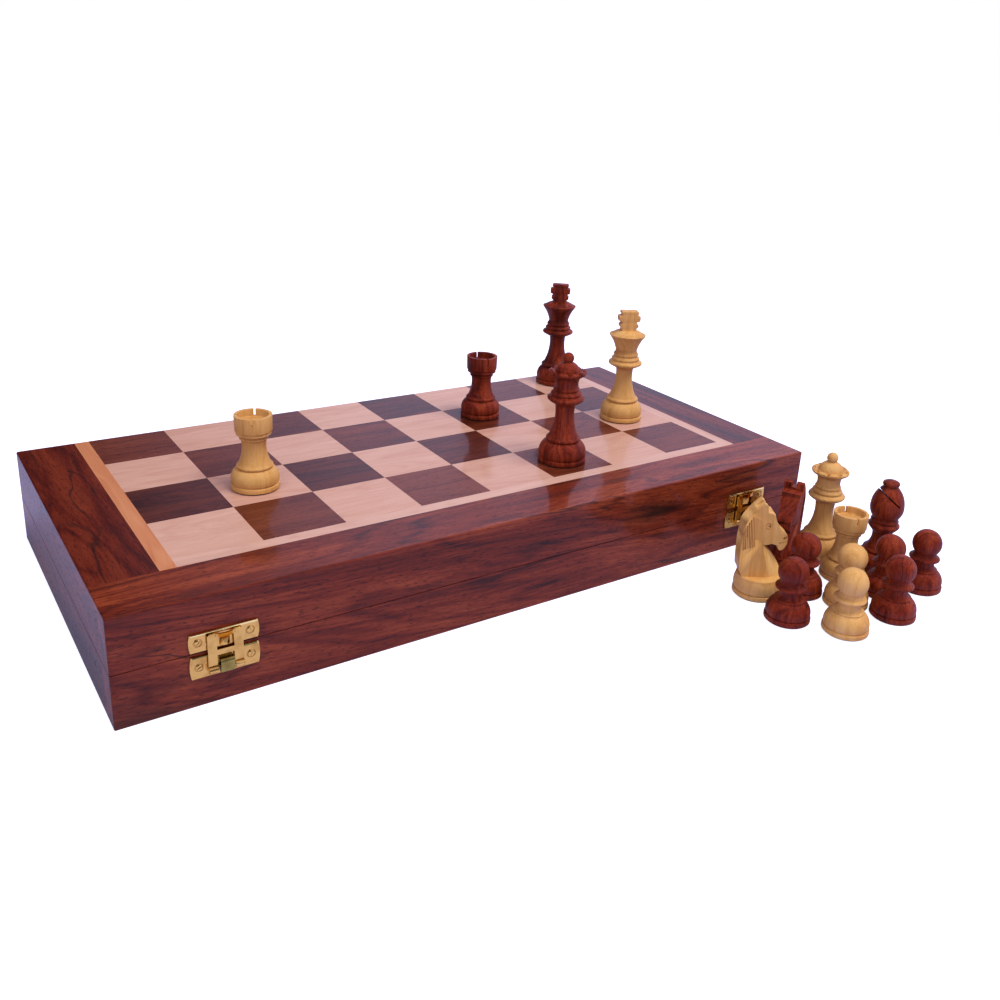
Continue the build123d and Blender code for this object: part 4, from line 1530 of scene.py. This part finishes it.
KINDS: dict[str, Man] = {
    "king": King(13.5, [
        (13.0, 0.2, 0), (10.2, 8.2, 1.3), *disc(10.3, 2.2, 0.9, 0.5), (8.7, 0.5, 0), (5.4, 17.9, -1.3), (5.6, 1.3, 0),
        (9.4, 1.9, 0), *disc(10.7, 2.2, 0.8, 0.3), (8.4, 0.7, 0), *disc(8.9, 1.9, 0.6, 0.2), (7.2, 0.7, 0),
        *disc(7.9, 1.9, 0.6, 0.2), (6.7, 1.6, 0), (11.3, 9.6, -0.6), (11.5, 0.7, 0), (9.8, 0.6, 0), (4.6, 2.3, 0.4)]),
    "queen": Queen(13.8, [
        (13.4, 0.2, 0), (10.3, 8.4, 1.4), *disc(9.9, 2.1, 0.9, 0.6), (8.5, 0.5, 0), (5.6, 17.4, -1.3), (5.7, 1.3, 0),
        (9.2, 2.2, 0), *disc(10.5, 2.2, 0.8, 0.5), (8.2, 0.7, 0), *disc(8.7, 1.8, 0.6, 0.2), (7.1, 0.7, 0),
        *disc(7.5, 1.7, 0.6, 0.2), (6.7, 0.9, 0), (7.4, 5.0, -0.4), (10.2, 1.8, 0), (10.7, 1.5, 0.2), (9.5, 1.0, 0),
        (7.0, -1.0, 0), (3.0, 5.2, 1.0), (2.4, 0.4, 0), *ball(3.2, 2.4)]),
    "bishop": Bishop(12.9, [
        (12.5, 0.2, 0), (9.8, 7.4, 1.2), *disc(9.4, 1.9, 0.8, 0.5), (7.9, 0.5, 0), (5.6, 9.0, -1.0), (5.8, 0.6, 0),
        (8.0, 2.6, 0), *disc(8.8, 2.2, 0.8, 0.3), (7.2, 0.7, 0), *disc(7.8, 1.9, 0.6, 0.2), (6.9, 0.7, 0),
        (9.3, 8.0, 0.9), (4.2, 11.0, 1.2), (3.9, 0.4, 0), (4.4, 0.5, 0), (4.5, 1.9, 0.3), *cap(4.5, 1.4)]),
    "rook": Rook(12.4, [
        (12.0, 0.2, 0), (9.7, 7.3, 1.2), *disc(9.4, 1.9, 0.8, 0.4), (8.3, 0.4, 0), (6.3, 11.9, -0.9), (6.4, 0.8, 0),
        *disc(7.3, 1.5, 0.5, 0.3), (6.5, 0.5, 0), (8.9, 1.0, 0.3), (8.7, 0.9, 0), (8.7, 0.3, 0), (9.4, 0.6, 0),
        (9.6, 8.2, 0)]),
    "pawn": Man(12.0, [
        (11.5, 0.2, 0), (8.1, 7.6, 1.3), (7.7, 0.2, 0), (7.7, 0.9, 0.4), (6.7, 0.4, 0), (5.8, 4.2, -0.4),
        (7.0, 0.6, 0), *disc(8.3, 1.7, 0.6, 0.3), (6.7, 0.5, 0), (5.9, 2.0, -0.2), *ball(7.9, 5.9)]),
    "knight": Knight(12.9, [(12.5, 0.2, 0), (11.9, 7.4, 0.6), (11.2, 0.8, 0.3)]),
}
FACING = {
    "light_rook_near_corner": 20, "dark_rook": 35, "dark_queen": 0, "light_king": -28, "dark_king": -38,
    "light_knight": -33, "dark_knight": -152, "light_queen": 10, "light_rook_on_table": 15, "dark_bishop": -35,
}


def wood_of(node: str) -> str:
    """The wood of a man, which names its finish."""
    return "boxwood" if "light" in node else "stained_wood"


@dataclass
class Men:
    """The men that stand out of the box, and the stored ones."""

    finishes: dict[str, Material]

    def dress(self) -> None:
        """Give the lying men their woods."""
        for node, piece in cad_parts.items():
            if node.startswith("stored_"):
                soften(piece, 0.0)
                dress(piece, self.finishes[wood_of(node)])

    def build(self) -> list[Piece]:
        """Turn each kind once and stand a copy on each man's place.

        Returns:
            The standing men.
        """
        patterns = {kind: man.build(f"pattern_{kind}") for kind, man in KINDS.items()}
        made = []
        for node in sorted(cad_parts):
            if node.startswith(("light_", "dark_")):
                kind = next(name for name in KINDS if name in node)
                place = at(self.foot_middle(node), FACING.get(node, 0))
                man = copied(patterns[kind], f"turned_{node}", place)
                dress(man, self.finishes[wood_of(node)], self.finishes["foot_felt"])
                made.append(stand_in(man, node, node))
        for pattern in patterns.values():
            bpy.data.objects.remove(pattern)
        return made

    def foot_middle(self, node: str) -> Place:
        """Middle of a packed man's foot in metres, from its lowest millimetre.

        Args:
            node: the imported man's name.

        Returns:
            The middle of its underside.
        """
        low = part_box(node)[0].z
        foot = [v.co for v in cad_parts[node].data.vertices if v.co.z < low + 1.0 * MM]
        x, y = ((min(steps) + max(steps)) / 2 for steps in ([p.x for p in foot], [p.y for p in foot]))
        return x, y, low


# Table, lamps and camera

WHITE = (1.0, 1.0, 1.0, 1.0)


@dataclass
class Studio:
    """A pale table, soft lamps and the camera, in metres, watts and degrees.

    The camera's rays see the table glow and a white sky. The mirrored table glows less, and the mirrored
    sky is bright on the right and overhead only, so that reflections stay soft.
    """

    camera_place: Place = (-0.2681, -0.4688, 0.2634)
    camera_turn: Place = (70.47, -3.11, -34.31)
    lens: float = 35.84
    sensor: float = 36.0
    shift: Point = (-0.0258, -0.0764)
    nearest: float = 0.01
    aim: Place = (0.05, -0.03, 0.03)
    table_side: float = 14.0
    table_colour: Colour = (204, 202, 252)
    table_glow: float = 0.86
    mirrored_glow: float = 0.17
    air: Colour = (218, 213, 255)
    sky_light: float = 0.45

    def table(self) -> None:
        """The white table top, which keeps the object's shadow."""
        bpy.ops.object.select_all(action="DESELECT")
        bpy.ops.mesh.primitive_plane_add(size=self.table_side)
        top = newest("table_top")
        with editing(top):
            bpy.ops.mesh.subdivide(number_cuts=3)
        material, w, shader = new_material("table_white")
        w.fill(shader, Base_Color=tone(self.table_colour), Roughness=1.0, Specular_IOR_Level=0.0)
        rays = w.add("LightPath").outputs
        plain = w.maths("MAXIMUM", rays["Is Camera Ray"], rays["Is Transmission Ray"])
        seen = w.maths("MAXIMUM", w.times(rays["Is Glossy Ray"], self.mirrored_glow), plain)
        glow = w.add("Emission", Color=WHITE, Strength=w.times(seen, self.table_glow))
        both = w.add("AddShader", in_0=shader.outputs[0], in_1=glow.outputs[0])
        w.set(material.node_tree.nodes["Material Output"].inputs["Surface"], both.outputs[0])
        dress(top, material)

    def sky(self) -> None:
        """A white surround that lights the object softly."""
        world = bpy.data.worlds.new("surround")
        bpy.context.scene.world = world
        world.use_nodes = True
        w = Wiring(world.node_tree)
        rays = w.add("LightPath").outputs
        way = w.parts(w.add("TexCoord").outputs["Generated"])
        right, over = w.ramped(way[0], 0.16, 0.42, (0.0, 1.5)), w.ramped(way[2], 0.6, 0.9, (0.0, 1.1))
        plain = w.maths("MAXIMUM", rays["Is Camera Ray"], rays["Is Transmission Ray"])
        light = w.plus(w.times(plain, 1.0 - self.sky_light), self.sky_light)
        shine = w.times(rays["Is Glossy Ray"], w.minus(w.maths("MAXIMUM", right, over), self.sky_light))
        w.fill(world.node_tree.nodes["Background"], Strength=w.plus(light, shine),
               Color=w.mixed(rays["Is Camera Ray"], tone(self.air), WHITE))

    def hang(self, thing: bpy.types.Light | bpy.types.Camera, place: Place) -> Piece:
        """Put a lamp or a camera into the scene.

        Args:
            thing: the data of the lamp or camera.
            place: where it hangs.

        Returns:
            Its object.
        """
        item = bpy.data.objects.new(thing.name, thing)
        item.location = place
        bpy.context.scene.collection.objects.link(item)
        return item

    def lamp(self, name: str, place: Place, size: float, power: float) -> None:
        """A square soft lamp of this size that looks at the box and isn't mirrored in it.

        Args:
            name: the lamp's name.
            place: where it hangs.
            size: its side in metres.
            power: watts.
        """
        data = bpy.data.lights.new(name, "AREA")
        data.size, data.energy = size, power
        lamp = self.hang(data, place)
        lamp.visible_glossy = False
        lamp.rotation_euler = (Vector(self.aim) - Vector(place)).to_track_quat("-Z", "Y").to_euler()

    def camera(self) -> None:
        """The camera at its place."""
        data = bpy.data.cameras.new("camera")
        data.lens, data.sensor_width, data.clip_start = self.lens, self.sensor, self.nearest
        data.shift_x, data.shift_y = self.shift
        camera = self.hang(data, self.camera_place)
        camera.rotation_euler = tuple(math.radians(a) for a in self.camera_turn)
        bpy.context.scene.camera = camera

    def build(self) -> None:
        """Set up table, surround, lamps, camera and the plain view."""
        self.table()
        self.sky()
        self.lamp("key", (0.5, -0.8, 1.9), 1.1, 36.0)
        self.lamp("fill", (-1.5, -0.9, 1.1), 1.4, 10.0)
        self.camera()
        bpy.context.scene.view_settings.view_transform = "Standard"


def main() -> None:
    """Build and dress every sub-assembly in order."""
    logging.basicConfig(level=logging.INFO, format="%(message)s")
    Studio().build()
    finishes = make_finishes()
    for assembly in (Box(finishes), Metalwork(finishes), Men(finishes)):
        assembly.dress()
        for piece in assembly.build():
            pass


if __name__ == "__main__":
    main()
